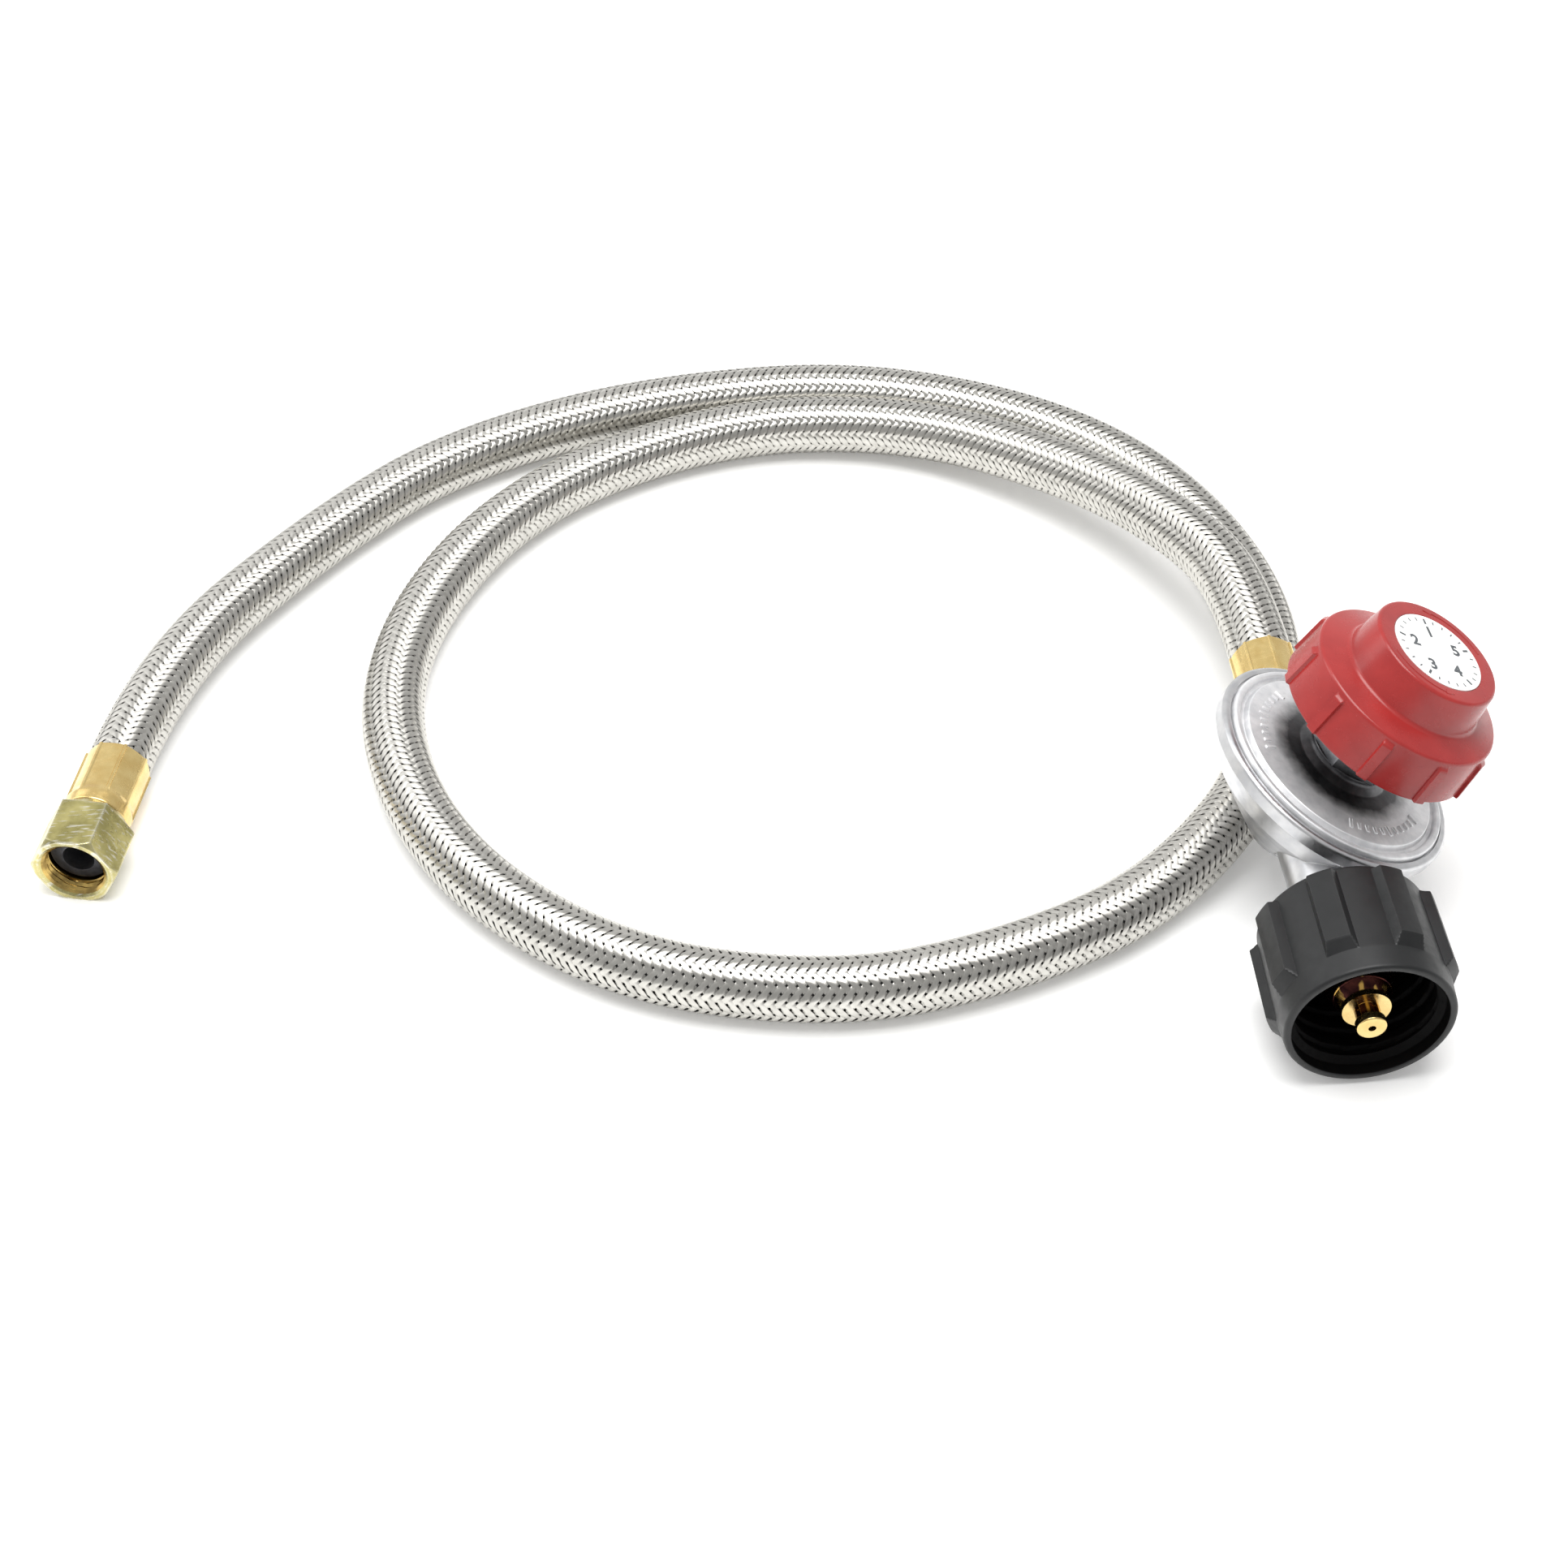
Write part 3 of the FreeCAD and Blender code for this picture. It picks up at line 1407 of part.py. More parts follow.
def poppet_spring():
    gap = float(d.running_gap)
    return coil("poppet_spring", float(d.poppet_spring_radius), float(d.poppet_spring_wire),
                float(nipple_chamber_start) + gap, float(poppet_start) - gap,
                DIMENSIONS["poppet_spring_turns"], INLET)


def hose_points():
    """The whole route: out of the outlet's ferrule, through the hand-chosen points, to the far one."""
    out = OUTLET.Rotation.multVec(Vector(0, 0, 1))
    leave = OUTLET.multVec(Vector(0, 0, float(ferrule_start + d.ferrule_length)))
    back = FAR.Rotation.multVec(Vector(0, 0, 1))
    arrive = FAR.multVec(Vector(0, 0, float(far_ferrule_start + d.ferrule_length)))
    points = [leave, leave + out * float(d.exit_run)]
    points += [Vector(*place) for place in ROUTE]
    points += [arrive + back * float(d.arrival_run), arrive]
    return points


def rounded_path(points):
    """Straight runs joined by tangent arcs, each as large as its two runs allow."""
    edges = []
    start = points[0]
    radii = []
    for before, corner, after in zip(points, points[1:], points[2:]):
        came = corner - before
        goes = after - corner
        shorter = min(came.Length, goes.Length)
        turn = came.getAngle(goes)
        radii.append(ARC_SHARE * shorter / math.tan(turn / 2))
        came.normalize()
        goes.normalize()
        first = corner - came * (ARC_SHARE * shorter)
        last = corner + goes * (ARC_SHARE * shorter)
        edges.append(Part.LineSegment(start, first).toShape())
        edges.append(tangent_arc(first, corner, last))
        start = last
    edges.append(Part.LineSegment(start, points[-1]).toShape())
    return Part.Wire(edges), radii


def tube(path, points, outer, inner):
    """A round tube along the path, square to it at both ends."""
    way = points[1] - points[0]
    outside = Part.Wire(Part.Circle(points[0], way, outer).toShape())
    inside = Part.Wire(Part.Circle(points[0], way, inner).toShape())
    ring = Part.makeFace([outside, inside], "Part::FaceMakerBullseye")
    made = path.makePipe(ring)
    expected = ring.Area * path.Length
    print("tube r %.2f to %.2f: volume %.0f, section times length %.0f"
          % (inner, outer, made.Volume, expected))
    return made


def sleeve(end, way, outer, inner, length):
    """The stretch that a ferrule squeezes, ahead of the tube's end."""
    solid = Part.makeCylinder(outer, length, end, way)
    return solid.cut(Part.makeCylinder(inner, length, end, way))


HOSE_POINTS = hose_points()
HOSE_PATH, HOSE_RADII = rounded_path(HOSE_POINTS)


def hose_braid():
    outer = float(d.hose_radius)
    inner = float(d.hose_radius - d.braid_wall)
    return drawn("hose_braid", tube(HOSE_PATH, HOSE_POINTS, outer, inner), Placement())


def hose_liner():
    outer = float(d.hose_radius - d.braid_wall - d.running_gap)
    bore = float(liner_bore)
    squeezed = float(squeezed_radius)
    inside = float(d.ferrule_length - d.ferrule_end)
    made = tube(HOSE_PATH, HOSE_POINTS, outer, bore)
    for end, way in ((HOSE_POINTS[0], HOSE_POINTS[0] - HOSE_POINTS[1]),
                     (HOSE_POINTS[-1], HOSE_POINTS[-1] - HOSE_POINTS[-2])):
        made = made.fuse(sleeve(end, way, squeezed, bore, inside))
    return drawn("hose_liner", made, Placement())


PIECES = [
    lower_body, bonnet, vent_screen, bonnet_bushing, diaphragm, diaphragm_plate, diaphragm_stem,
    lever, lever_pin, valve_slider, seat_disc, inlet_orifice, inlet_nipple, thermal_bushing,
    nipple_probe, flow_poppet, hand_nut, control_knob, knob_label, knob_screw, adjusting_screw,
    spring_button, outlet_stem, outlet_ferrule, end_ferrule, end_stem, flare_nut,
    main_spring, poppet_spring, hose_braid, hose_liner,
]


def build():
    made = []
    for piece in PIECES:
        item, place = piece()
        doc.recompute()
        item.Placement = place
        made.append(item)
    doc.recompute()
    return made


def check(made):
    """Nothing is written unless every object and every sub-part is sound."""
    for item in doc.Objects:
        if "Invalid" in item.State or "Error" in item.State:
            raise RuntimeError("%s failed: %s" % (item.Name, item.State))
    for item in made:
        if item.Shape.isNull() or not item.Shape.isValid() or len(item.Shape.Solids) != 1:
            raise RuntimeError("%s has no sound single solid" % item.Label)


def write(made):
    os.makedirs("parts", exist_ok=True)
    for item in made:
        item.Shape.exportStep("parts/%s.step" % item.Label)


subparts = build()
check(subparts)
write(subparts)
print("hose radii, mm: " + ", ".join("%.0f" % radius for radius in HOSE_RADII))
print("hose, free length %.0f mm" % HOSE_PATH.Length)
print("pitch %.2f degrees, crossing of the axes at %s" % (math.degrees(PITCH), CROSSING))
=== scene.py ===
"""Looks of the propane regulator hose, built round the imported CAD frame.

Sizes are in millimetres, each in the frame of its piece's own axis, and go to metres when a mesh is made.
Profiles are rows of (radius, height, round of the corner).
"""

import json
import math

import bmesh
import bpy
import numpy as np
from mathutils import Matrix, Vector

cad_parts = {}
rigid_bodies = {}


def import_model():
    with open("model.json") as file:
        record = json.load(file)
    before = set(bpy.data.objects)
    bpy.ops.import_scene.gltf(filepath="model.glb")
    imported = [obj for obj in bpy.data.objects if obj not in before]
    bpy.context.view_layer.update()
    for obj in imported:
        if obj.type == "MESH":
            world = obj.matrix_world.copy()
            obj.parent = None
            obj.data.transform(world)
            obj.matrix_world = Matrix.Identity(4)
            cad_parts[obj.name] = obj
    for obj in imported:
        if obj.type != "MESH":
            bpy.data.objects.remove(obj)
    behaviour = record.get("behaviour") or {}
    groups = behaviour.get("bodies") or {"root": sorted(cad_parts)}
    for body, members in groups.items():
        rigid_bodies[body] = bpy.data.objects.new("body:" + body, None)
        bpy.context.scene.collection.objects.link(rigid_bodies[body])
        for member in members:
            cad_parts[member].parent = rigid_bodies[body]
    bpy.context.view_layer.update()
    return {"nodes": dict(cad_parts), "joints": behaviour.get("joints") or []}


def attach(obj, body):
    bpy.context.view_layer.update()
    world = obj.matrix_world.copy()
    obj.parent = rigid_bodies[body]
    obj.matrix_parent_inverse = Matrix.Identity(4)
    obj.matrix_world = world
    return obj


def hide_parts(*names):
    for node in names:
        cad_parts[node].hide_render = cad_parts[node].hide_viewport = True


MM = 0.001
TAU = 2 * math.pi
X_AXIS = (1, 0, 0)

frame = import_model()


# Frames

def unit(v):
    v = np.asarray(v, float)
    return v / np.linalg.norm(v)


def place(origin, axis, zero):
    """Frame of a turned piece: its origin in mm, its axis, and the direction of angle zero."""
    w = unit(axis)
    u = unit(np.asarray(zero, float) - w * np.dot(w, zero))
    return np.array([u, np.cross(w, u), w]), np.asarray(origin, float)


def placed(points, at):
    """Points of a piece's own frame, in mm in the scene."""
    axes, origin = at
    return points @ axes + origin


def own(point, at):
    """A point of the scene, from metres to mm in a piece's own frame."""
    axes, origin = at
    return axes @ (np.array(point) / MM - origin)


JOINTS = {joint["name"]: joint for joint in frame["joints"]}
UP = -unit(JOINTS["knob_turn"]["axis"])
OUTLET_WAY = -unit(JOINTS["hand_nut_spin"]["axis"])
FAR_WAY = -unit(JOINTS["flare_nut_spin"]["axis"])
SIDE = np.cross(OUTLET_WAY, UP)
# From the crossing of the regulator's axes to the hand nut's joint and to its mouth.
NUT_JOINT, NUT_MOUTH = 60.0, 69.3
CROSSING = np.array(JOINTS["hand_nut_spin"]["pos_m"]) / MM + NUT_JOINT * OUTLET_WAY
FAR_MOUTH = np.array(JOINTS["flare_nut_spin"]["pos_m"]) / MM

REGULATOR = place(CROSSING, UP, SIDE)
OUTLET = place(CROSSING, OUTLET_WAY, SIDE)
NUT = place(CROSSING - NUT_MOUTH * OUTLET_WAY, OUTLET_WAY, X_AXIS)
FAR = place(FAR_MOUTH, FAR_WAY, X_AXIS)


# Mesh code

# Largest share of an edge that one corner's arc takes, and the distance in metres at which points merge.
ARC_SHARE, MERGE_M = 0.49, 1e-7


def rounded(corners, steps=5):
    """(radius, height) points of a closed profile, each corner (radius, height, round) made an arc."""
    points = []
    count = len(corners)
    for i, corner in enumerate(corners):
        p = np.array(corner[:2], float)
        size = corner[2] if len(corner) > 2 else 0
        if not size:
            points.append(p)
            continue
        a = np.array(corners[i - 1][:2], float) - p
        b = np.array(corners[(i + 1) % count][:2], float) - p
        la, lb = np.linalg.norm(a), np.linalg.norm(b)
        a, b = a / la, b / lb
        half = math.acos(np.clip(a @ b, -1, 1)) / 2
        cut = min(size / math.tan(half), ARC_SHARE * la, ARC_SHARE * lb)
        size = cut * math.tan(half)
        centre = p + unit(a + b) * size / math.sin(half)
        first, last = p + a * cut - centre, p + b * cut - centre
        sweep = math.pi - 2 * half
        for k in range(steps + 1):
            t = k / steps
            arm = math.sin((1 - t) * sweep) * first + math.sin(t * sweep) * last
            points.append(centre + arm / math.sin(sweep))
    return np.array(points)


def divided(profile, step, low, high):
    """The closed profile with its straight runs between two heights cut into steps."""
    points = []
    for a, b in zip(profile, np.roll(profile, -1, 0)):
        inside = low <= min(a[1], b[1]) and max(a[1], b[1]) <= high
        parts = max(1, math.ceil(np.linalg.norm(b - a) / step)) if inside else 1
        points.extend(a + (b - a) * k / parts for k in range(parts))
    return np.array(points)


def ease(x):
    x = np.clip(x, 0, 1)
    return x * x * (3 - 2 * x)


def off_centre(angle, gap):
    """How far an angle lies from the nearest multiple of the gap."""
    return np.abs((angle + gap / 2) % gap - gap / 2)


def grid_faces(rows, columns, wrap_rows=True):
    """Quads of a grid of points that closes round its columns, and round its rows if asked."""
    i = np.arange(rows if wrap_rows else rows - 1)[:, None]
    j = np.arange(columns)[None, :]
    down, right = (i + 1) % rows, (j + 1) % columns
    quads = [i * columns + j, i * columns + right, down * columns + right, down * columns + j]
    return np.stack(quads, -1).reshape(-1, 4)


def smoothed(mesh, crease):
    """Smooth shading with sharp edges where faces meet at more than crease degrees."""
    mesh.shade_smooth()
    mesh.set_sharp_from_angle(angle=math.radians(crease))


def mesh_piece(name, points, faces, at=None, crease=35):
    """A smooth-shaded mesh from points in mm, with its normals outward."""
    if at is not None:
        points = placed(points, at)
    mesh = bpy.data.meshes.new(name)
    mesh.from_pydata((points * MM).tolist(), [], np.asarray(faces).tolist())
    work = bmesh.new()
    work.from_mesh(mesh)
    bmesh.ops.remove_doubles(work, verts=work.verts, dist=MERGE_M)
    bmesh.ops.recalc_face_normals(work, faces=work.faces)
    work.to_mesh(mesh)
    work.free()
    smoothed(mesh, crease)
    piece = bpy.data.objects.new(name, mesh)
    bpy.context.scene.collection.objects.link(piece)
    return piece


def turned(name, profile, angles, at, radius=None, crease=35):
    """A closed profile turned about the axis of its frame. radius(r, h, angle) gives a shaped radius."""
    r, h, t = profile[:, :1], profile[:, 1:], np.asarray(angles, float)[None, :]
    r = radius(r, h, t) if radius else r
    r, h, t = np.broadcast_arrays(r, h, t)
    points = np.stack([r * np.cos(t), r * np.sin(t), h], -1).reshape(-1, 3)
    return mesh_piece(name, points, grid_faces(len(profile), r.shape[1]), at, crease)


def even_angles(count):
    return np.arange(0, TAU, TAU / count)


def feature_angles(centres, between, edges):
    """Angles of a turned mesh: at the edges on both sides of each centre, and even between features."""
    gap = TAU / len(centres)
    near = sorted({side * edge for edge in edges for side in (-1, 1)} | {0.0})
    free = np.linspace(edges[-1], gap - edges[-1], between + 2)[1:-1]
    return np.array([centre + angle for centre in centres for angle in near + list(free)])


def joined(name, pieces):
    """Several meshes made one, with all their materials."""
    with bpy.context.temp_override(active_object=pieces[0], selected_editable_objects=pieces):
        bpy.ops.object.join()
    pieces[0].name = pieces[0].data.name = name
    return pieces[0]


def inside_painted(piece, at, radius, height):
    """The piece's second material on all that lies nearer to its axis than radius and below height."""
    for face in piece.data.polygons:
        x, y, h = own(face.center, at)
        face.material_index = 1 if math.hypot(x, y) < radius and h < height else 0


# Materials

NOISE_ROUGHNESS, BEVEL_SAMPLES = 0.55, 4
# Values of the noise between which patches of colour and of gloss fade.
PATCH_LOW, PATCH_HIGH = 0.35, 0.65
GLOSS_LOW, GLOSS_HIGH, GLOSS_SHARE = 0.3, 0.7, 0.35
# Size in mm of the patches that break up worn edges, and how much wear is left between them.
WEAR_PATCH, WEAR_LEAST = 1.2, 0.25
# Short scuffs: a stretched noise, where its peaks show.
SCUFF_TURN, SCUFF_STRETCH, SCUFF_SCALE = (0.3, 0.5, 0.9), (1, 6, 2), 260.0
SCUFF_LOW, SCUFF_HIGH, SCUFF_MOST = 0.56, 0.68, 0.8


def linear(*rgb):
    """A colour from 8-bit sRGB to linear."""
    shares = (c / 255 for c in rgb)
    return tuple(c / 12.92 if c <= 0.04045 else ((c + 0.055) / 1.055) ** 2.4 for c in shares) + (1.0,)


class Shader:
    """A material's node tree, built one node at a time."""

    def __init__(self, name):
        self.material = bpy.data.materials.new(name)
        self.material.use_nodes = True
        self.tree = self.material.node_tree
        self.surface = self.tree.nodes["Principled BSDF"]
        self.where = self.add("ShaderNodeTexCoord").outputs["Object"]

    def join(self, value, socket):
        if isinstance(value, bpy.types.NodeSocket):
            self.tree.links.new(value, socket)
        else:
            socket.default_value = value

    def add(self, kind, inputs=None, **settings):
        node = self.tree.nodes.new(kind)
        for key, value in settings.items():
            setattr(node, key, value)
        for key, value in (inputs or {}).items():
            self.join(value, node.inputs[key])
        return node

    def show(self, **values):
        """Values or links for the surface's own sockets, with _ for a space in their names."""
        for key, value in values.items():
            self.join(value, self.surface.inputs[key.replace("_", " ")])

    def noise(self, size, detail=3.0):
        """Noise from 0 to 1 whose features are about size mm."""
        node = self.add("ShaderNodeTexNoise", {
            "Vector": self.where, "Scale": 1 / (size * MM), "Detail": detail, "Roughness": NOISE_ROUGHNESS})
        return node.outputs["Fac"]

    def ranged(self, value, low, high, to_low, to_high):
        node = self.add("ShaderNodeMapRange", {
            "Value": value, "From Min": low, "From Max": high, "To Min": to_low, "To Max": to_high})
        return node.outputs["Result"]

    def patches(self, size, least=0.0):
        """Soft-edged patches about size mm wide, from least to 1."""
        return self.ranged(self.noise(size), PATCH_LOW, PATCH_HIGH, least, 1.0)

    def gloss(self, size, low, high):
        """Roughness that wanders between low and high over size mm."""
        self.show(Roughness=self.ranged(self.noise(size), GLOSS_LOW, GLOSS_HIGH, low, high))

    def math(self, operation, a, b=0.0):
        return self.add("ShaderNodeMath", {0: a, 1: b}, operation=operation).outputs[0]

    def vector(self, operation, a, b=(0.0, 0.0, 0.0)):
        return self.add("ShaderNodeVectorMath", {0: a, 1: b}, operation=operation).outputs

    def clamped(self, value):
        return self.add("ShaderNodeClamp", {0: value}).outputs[0]

    def mix(self, amount, a, b):
        node = self.add("ShaderNodeMix", {0: amount}, data_type="RGBA")
        for index, value in ((6, a), (7, b)):
            self.join(value, node.inputs[index])
        return node.outputs[2]

    def bevel(self, width):
        return self.add("ShaderNodeBevel", {"Radius": width * MM}, samples=BEVEL_SAMPLES).outputs["Normal"]

    def edges(self, width, gain):
        """1 along edges narrower than width mm, broken up by noise, and 0 elsewhere."""
        true = self.add("ShaderNodeNewGeometry").outputs["Normal"]
        dot = self.vector("DOT_PRODUCT", self.bevel(width), true)["Value"]
        bent = self.math("MULTIPLY", self.math("SUBTRACT", 1.0, dot), gain)
        return self.clamped(self.math("MULTIPLY", bent, self.patches(WEAR_PATCH, WEAR_LEAST)))

    def bumps(self, height, depth, strength=1.0, soften=0.0):
        """Relief depth mm deep, over edges that look rounded by soften mm."""
        bump = self.add("ShaderNodeBump", {"Height": height, "Distance": depth * MM, "Strength": strength})
        if soften:
            self.join(self.bevel(soften), bump.inputs["Normal"])
        self.show(Normal=bump.outputs["Normal"])


def finish(name, colour, other, rough, mottle=6.0, grain=0.5, relief=0.01, soften=0.25, worn=None,
           worn_width=0.5, worn_gain=2.0, scuffs=None, **fixed):
    """A finish with mottled colour and roughness, a fine grain, softened edges, wear along them and scuffs.

    mottle, grain, relief, soften and worn_width are sizes in mm.
    """
    s = Shader(name)
    shade = s.mix(s.patches(mottle), linear(*colour), linear(*other))
    if worn is not None:
        shade = s.mix(s.edges(worn_width, worn_gain), shade, linear(*worn))
    if scuffs is not None:
        long_way = s.add("ShaderNodeMapping", {
            "Vector": s.where, "Rotation": SCUFF_TURN, "Scale": SCUFF_STRETCH}).outputs[0]
        streak = s.add("ShaderNodeTexNoise", {"Vector": long_way, "Scale": SCUFF_SCALE, "Detail": 3.0})
        amount = s.ranged(streak.outputs["Fac"], SCUFF_LOW, SCUFF_HIGH, 0.0, SCUFF_MOST)
        shade = s.mix(amount, shade, linear(*scuffs))
    s.gloss(mottle * GLOSS_SHARE, *rough)
    s.bumps(s.noise(grain, detail=2.0), relief, soften=soften)
    s.show(Base_Color=shade, **fixed)
    return s.material


RED = finish("knob_red_moulded", (160, 44, 42), (149, 38, 37), rough=(0.20, 0.30), mottle=9, relief=0.0012,
             soften=0)
# Knob red darkened as painted shade, for the hollow inside of the knob.
RED_PAINTED_SHADE = finish("knob_red_painted_shade", (60, 12, 12), (46, 9, 9), rough=(0.5, 0.65), relief=0.003, soften=0)
WHITE = finish("label_white_print", (244, 244, 242), (236, 236, 234), rough=(0.35, 0.45), grain=0.6,
               relief=0.002, soften=0.1)
INK = finish("label_grey_ink", (70, 74, 78), (84, 88, 92), rough=(0.4, 0.5), relief=0.002, soften=0)
ZINC = finish("zinc_die_cast", (212, 212, 213), (192, 193, 196), rough=(0.28, 0.40), mottle=5, grain=1.8,
              relief=0.02, soften=0.3, worn=(238, 238, 238), worn_gain=3.0, Metallic=1.0)
BRIGHT_ZINC = finish("zinc_bright_plate", (146, 147, 149), (120, 121, 124), rough=(0.10, 0.18), mottle=3,
                     grain=0.6, relief=0.003, soften=0.2, Metallic=1.0)
STEEL = finish("steel_bright", (205, 205, 206), (186, 187, 190), rough=(0.18, 0.30), mottle=3, relief=0.006,
               soften=0.15, Metallic=1.0)
BRASS = finish("brass_turned", (232, 206, 142), (220, 190, 124), rough=(0.18, 0.30), mottle=4, grain=0.8,
               relief=0.004, soften=0, worn=(246, 226, 170), Metallic=1.0)
# A dark grey brass finish.
DARK_BRASS = finish("brass_dark_grey", (92, 92, 96), (72, 72, 76), rough=(0.40, 0.52), mottle=2, relief=0.004,
                    soften=0.15, Metallic=0.5)
YELLOW_ZINC = finish("zinc_yellow_chromate", (206, 196, 134), (158, 150, 96), rough=(0.22, 0.40), mottle=7,
                     grain=0.9, relief=0.003, soften=0, worn=(238, 236, 228), worn_width=1.2, worn_gain=6.0,
                     scuffs=(222, 219, 206), Metallic=1.0)
YELLOW_THREAD = finish("zinc_yellow_thread", (206, 176, 104), (150, 126, 74), rough=(0.16, 0.26), mottle=3,
                       grain=0.9, relief=0.002, soften=0, Metallic=1.0)
BLACK = finish("nut_black_moulded", (23, 24, 25), (18, 19, 20), rough=(0.38, 0.50), mottle=8, relief=0.002,
               soften=0, worn=(60, 60, 60), Specular_IOR_Level=0.4)
# Nut black darkened as painted shade, for the inside of the hand nut.
BLACK_PAINTED_SHADE = finish("nut_black_painted_shade", (9, 8, 8), (7, 7, 7), rough=(0.5, 0.65), grain=0.4, relief=0.002,
                      soften=0.1, Specular_IOR_Level=0.08)
BUSH = finish("bush_moulded", (58, 60, 62), (48, 50, 52), rough=(0.4, 0.5), relief=0.004)
RUBBER = finish("rubber_black", (34, 34, 35), (26, 26, 27), rough=(0.55, 0.7))
GAP = finish("braid_shadow", (24, 23, 23), (17, 17, 17), rough=(0.6, 0.8), soften=0)

# Wires in a strand, and the painted shade in the grooves between them.
WIRES, GROOVE_SHADE = 8.0, 0.35
# Where a strand's painted shade along its edges starts, from its middle as a share of its width, and how dark
# it gets.
STRAND_EDGE, STRAND_SHADE_TONE = 0.38, 0.55


def braid_wire():
    """Fine steel wires laid side by side: each strand carries their grooves along its own length, with
    painted shade in the grooves and along the strand's edges.
    """
    s = Shader("steel_wire_braid")
    strand = s.add("ShaderNodeUVMap", uv_map="strand").outputs["UV"]
    across = s.add("ShaderNodeSeparateXYZ", {0: strand}).outputs["X"]
    wave = s.math("ABSOLUTE", s.math("SINE", s.math("MULTIPLY", across, WIRES * math.pi)))
    steel = s.mix(s.patches(3.0), linear(214, 212, 206), linear(198, 196, 190))
    groove_shaded = s.mix(s.ranged(wave, 0.0, 0.5, GROOVE_SHADE, 0.0), steel, linear(130, 127, 120))
    # Painted shade along each strand's edges, where the gaps between strands fall dark.
    off_middle = s.math("ABSOLUTE", s.math("SUBTRACT", across, 0.5))
    rim = s.ranged(off_middle, STRAND_EDGE, 0.5, 0.0, STRAND_SHADE_TONE)
    s.gloss(1.0, 0.32, 0.40)
    s.bumps(wave, 0.008, strength=0.6)
    along_strand = s.add("ShaderNodeTangent", direction_type="UV_MAP", uv_map="strand").outputs[0]
    s.show(Base_Color=s.mix(rim, groove_shaded, linear(88, 85, 80)), Metallic=1.0, Anisotropic=0.95,
           Tangent=along_strand)
    return s.material


# Polished and darkened with painted shade inside the first radius, cast outside the second, with an uneven
# border between them.
POLISHED_SHADED_RADIUS, CAST_RADIUS, ZONE_UNEVEN, ZONE_PATCH = 15.2, 19.2, 4.0, 5.0
POLISHED_ROUGH, CAST_ROUGH = 0.34, 0.52


def cover_zinc():
    """The bonnet's zinc: light and satin where it is cast; round the neck, brighter polished and darkened by
    painted shade and a painted dark reflection of the knob.
    """
    s = Shader("zinc_cover_painted_shade")
    axes, origin = REGULATOR
    arm = s.vector("SUBTRACT", s.where, tuple(origin * MM))[0]
    radius = s.vector("LENGTH", s.vector("CROSS_PRODUCT", arm, tuple(axes[2]))[0])["Value"]
    wander = s.math("MULTIPLY", s.math("SUBTRACT", s.noise(ZONE_PATCH), 0.5), ZONE_UNEVEN * MM)
    cast = s.ranged(s.math("ADD", radius, wander), POLISHED_SHADED_RADIUS * MM, CAST_RADIUS * MM, 0.0, 1.0)
    patches = s.patches(4.0)
    light = s.mix(patches, linear(240, 240, 241), linear(218, 219, 221))
    # Painted shade and painted dark reflection of the knob, round the neck.
    dark = s.mix(patches, linear(88, 88, 90), linear(60, 60, 62))
    s.bumps(s.noise(1.4, detail=2.0), 0.012)
    s.show(Base_Color=s.mix(s.edges(0.5, 3.0), s.mix(cast, dark, light), linear(245, 245, 245)),
           Roughness=s.ranged(cast, 0.0, 1.0, POLISHED_ROUGH, CAST_ROUGH), Metallic=0.8)
    return s.material


# Middles and half widths along the nose, from the crossing of the regulator's axes.
NOSE_RING, NOSE_TIP = (64.32, 0.75), (70.0, 2.05)
# Painted gold reflection streaks: where along the nose they start and reach full strength, their noise scale,
# and the noise values between which they show.
STREAKS_FROM, STREAKS_FULL, STREAK_SCALE = 57, 62, 420.0
STREAK_LOW, STREAK_HIGH = 0.54, 0.62


def nose_shade_and_glints():
    """Brass darkened by painted shade, bare on the ring and the tip, with painted gold reflection streaks
    running up to the ring.
    """
    s = Shader("brass_painted_shade_and_glints")
    way = tuple(-OUTLET_WAY)
    arm = s.vector("SUBTRACT", s.where, tuple(CROSSING * MM))[0]
    height = s.vector("DOT_PRODUCT", arm, way)["Value"]
    across = s.vector("CROSS_PRODUCT", arm, way)[0]
    ring, tip = (s.add("ShaderNodeMath", {0: height, 1: middle * MM, 2: half * MM}, operation="COMPARE")
                 for middle, half in (NOSE_RING, NOSE_TIP))
    streak = s.add("ShaderNodeTexNoise", {"Vector": across, "Scale": STREAK_SCALE, "Detail": 1.0})
    near_ring = s.ranged(height, STREAKS_FROM * MM, STREAKS_FULL * MM, 0.0, 1.0)
    glint_amount = s.ranged(streak.outputs["Fac"], STREAK_LOW, STREAK_HIGH, 0.0, 1.0)
    # Painted shade: the dark reddish tone of the nose.
    nose_shade = s.mix(s.patches(2.0), linear(84, 46, 40), linear(46, 24, 25))
    shade_with_glints = s.mix(s.math("MULTIPLY", glint_amount, near_ring), nose_shade, linear(214, 172, 92))
    clean = s.mix(s.patches(4.0), linear(236, 208, 144), linear(222, 190, 124))
    s.gloss(1.4, 0.18, 0.30)
    s.bumps(s.noise(0.8, detail=2.0), 0.002)
    bare = s.clamped(s.math("ADD", ring.outputs[0], tip.outputs[0]))
    s.show(Base_Color=s.mix(bare, shade_with_glints, clean), Metallic=1.0)
    return s.material


COVER_ZINC, NOSE_SHADE_AND_GLINTS, BRAID = cover_zinc(), nose_shade_and_glints(), braid_wire()

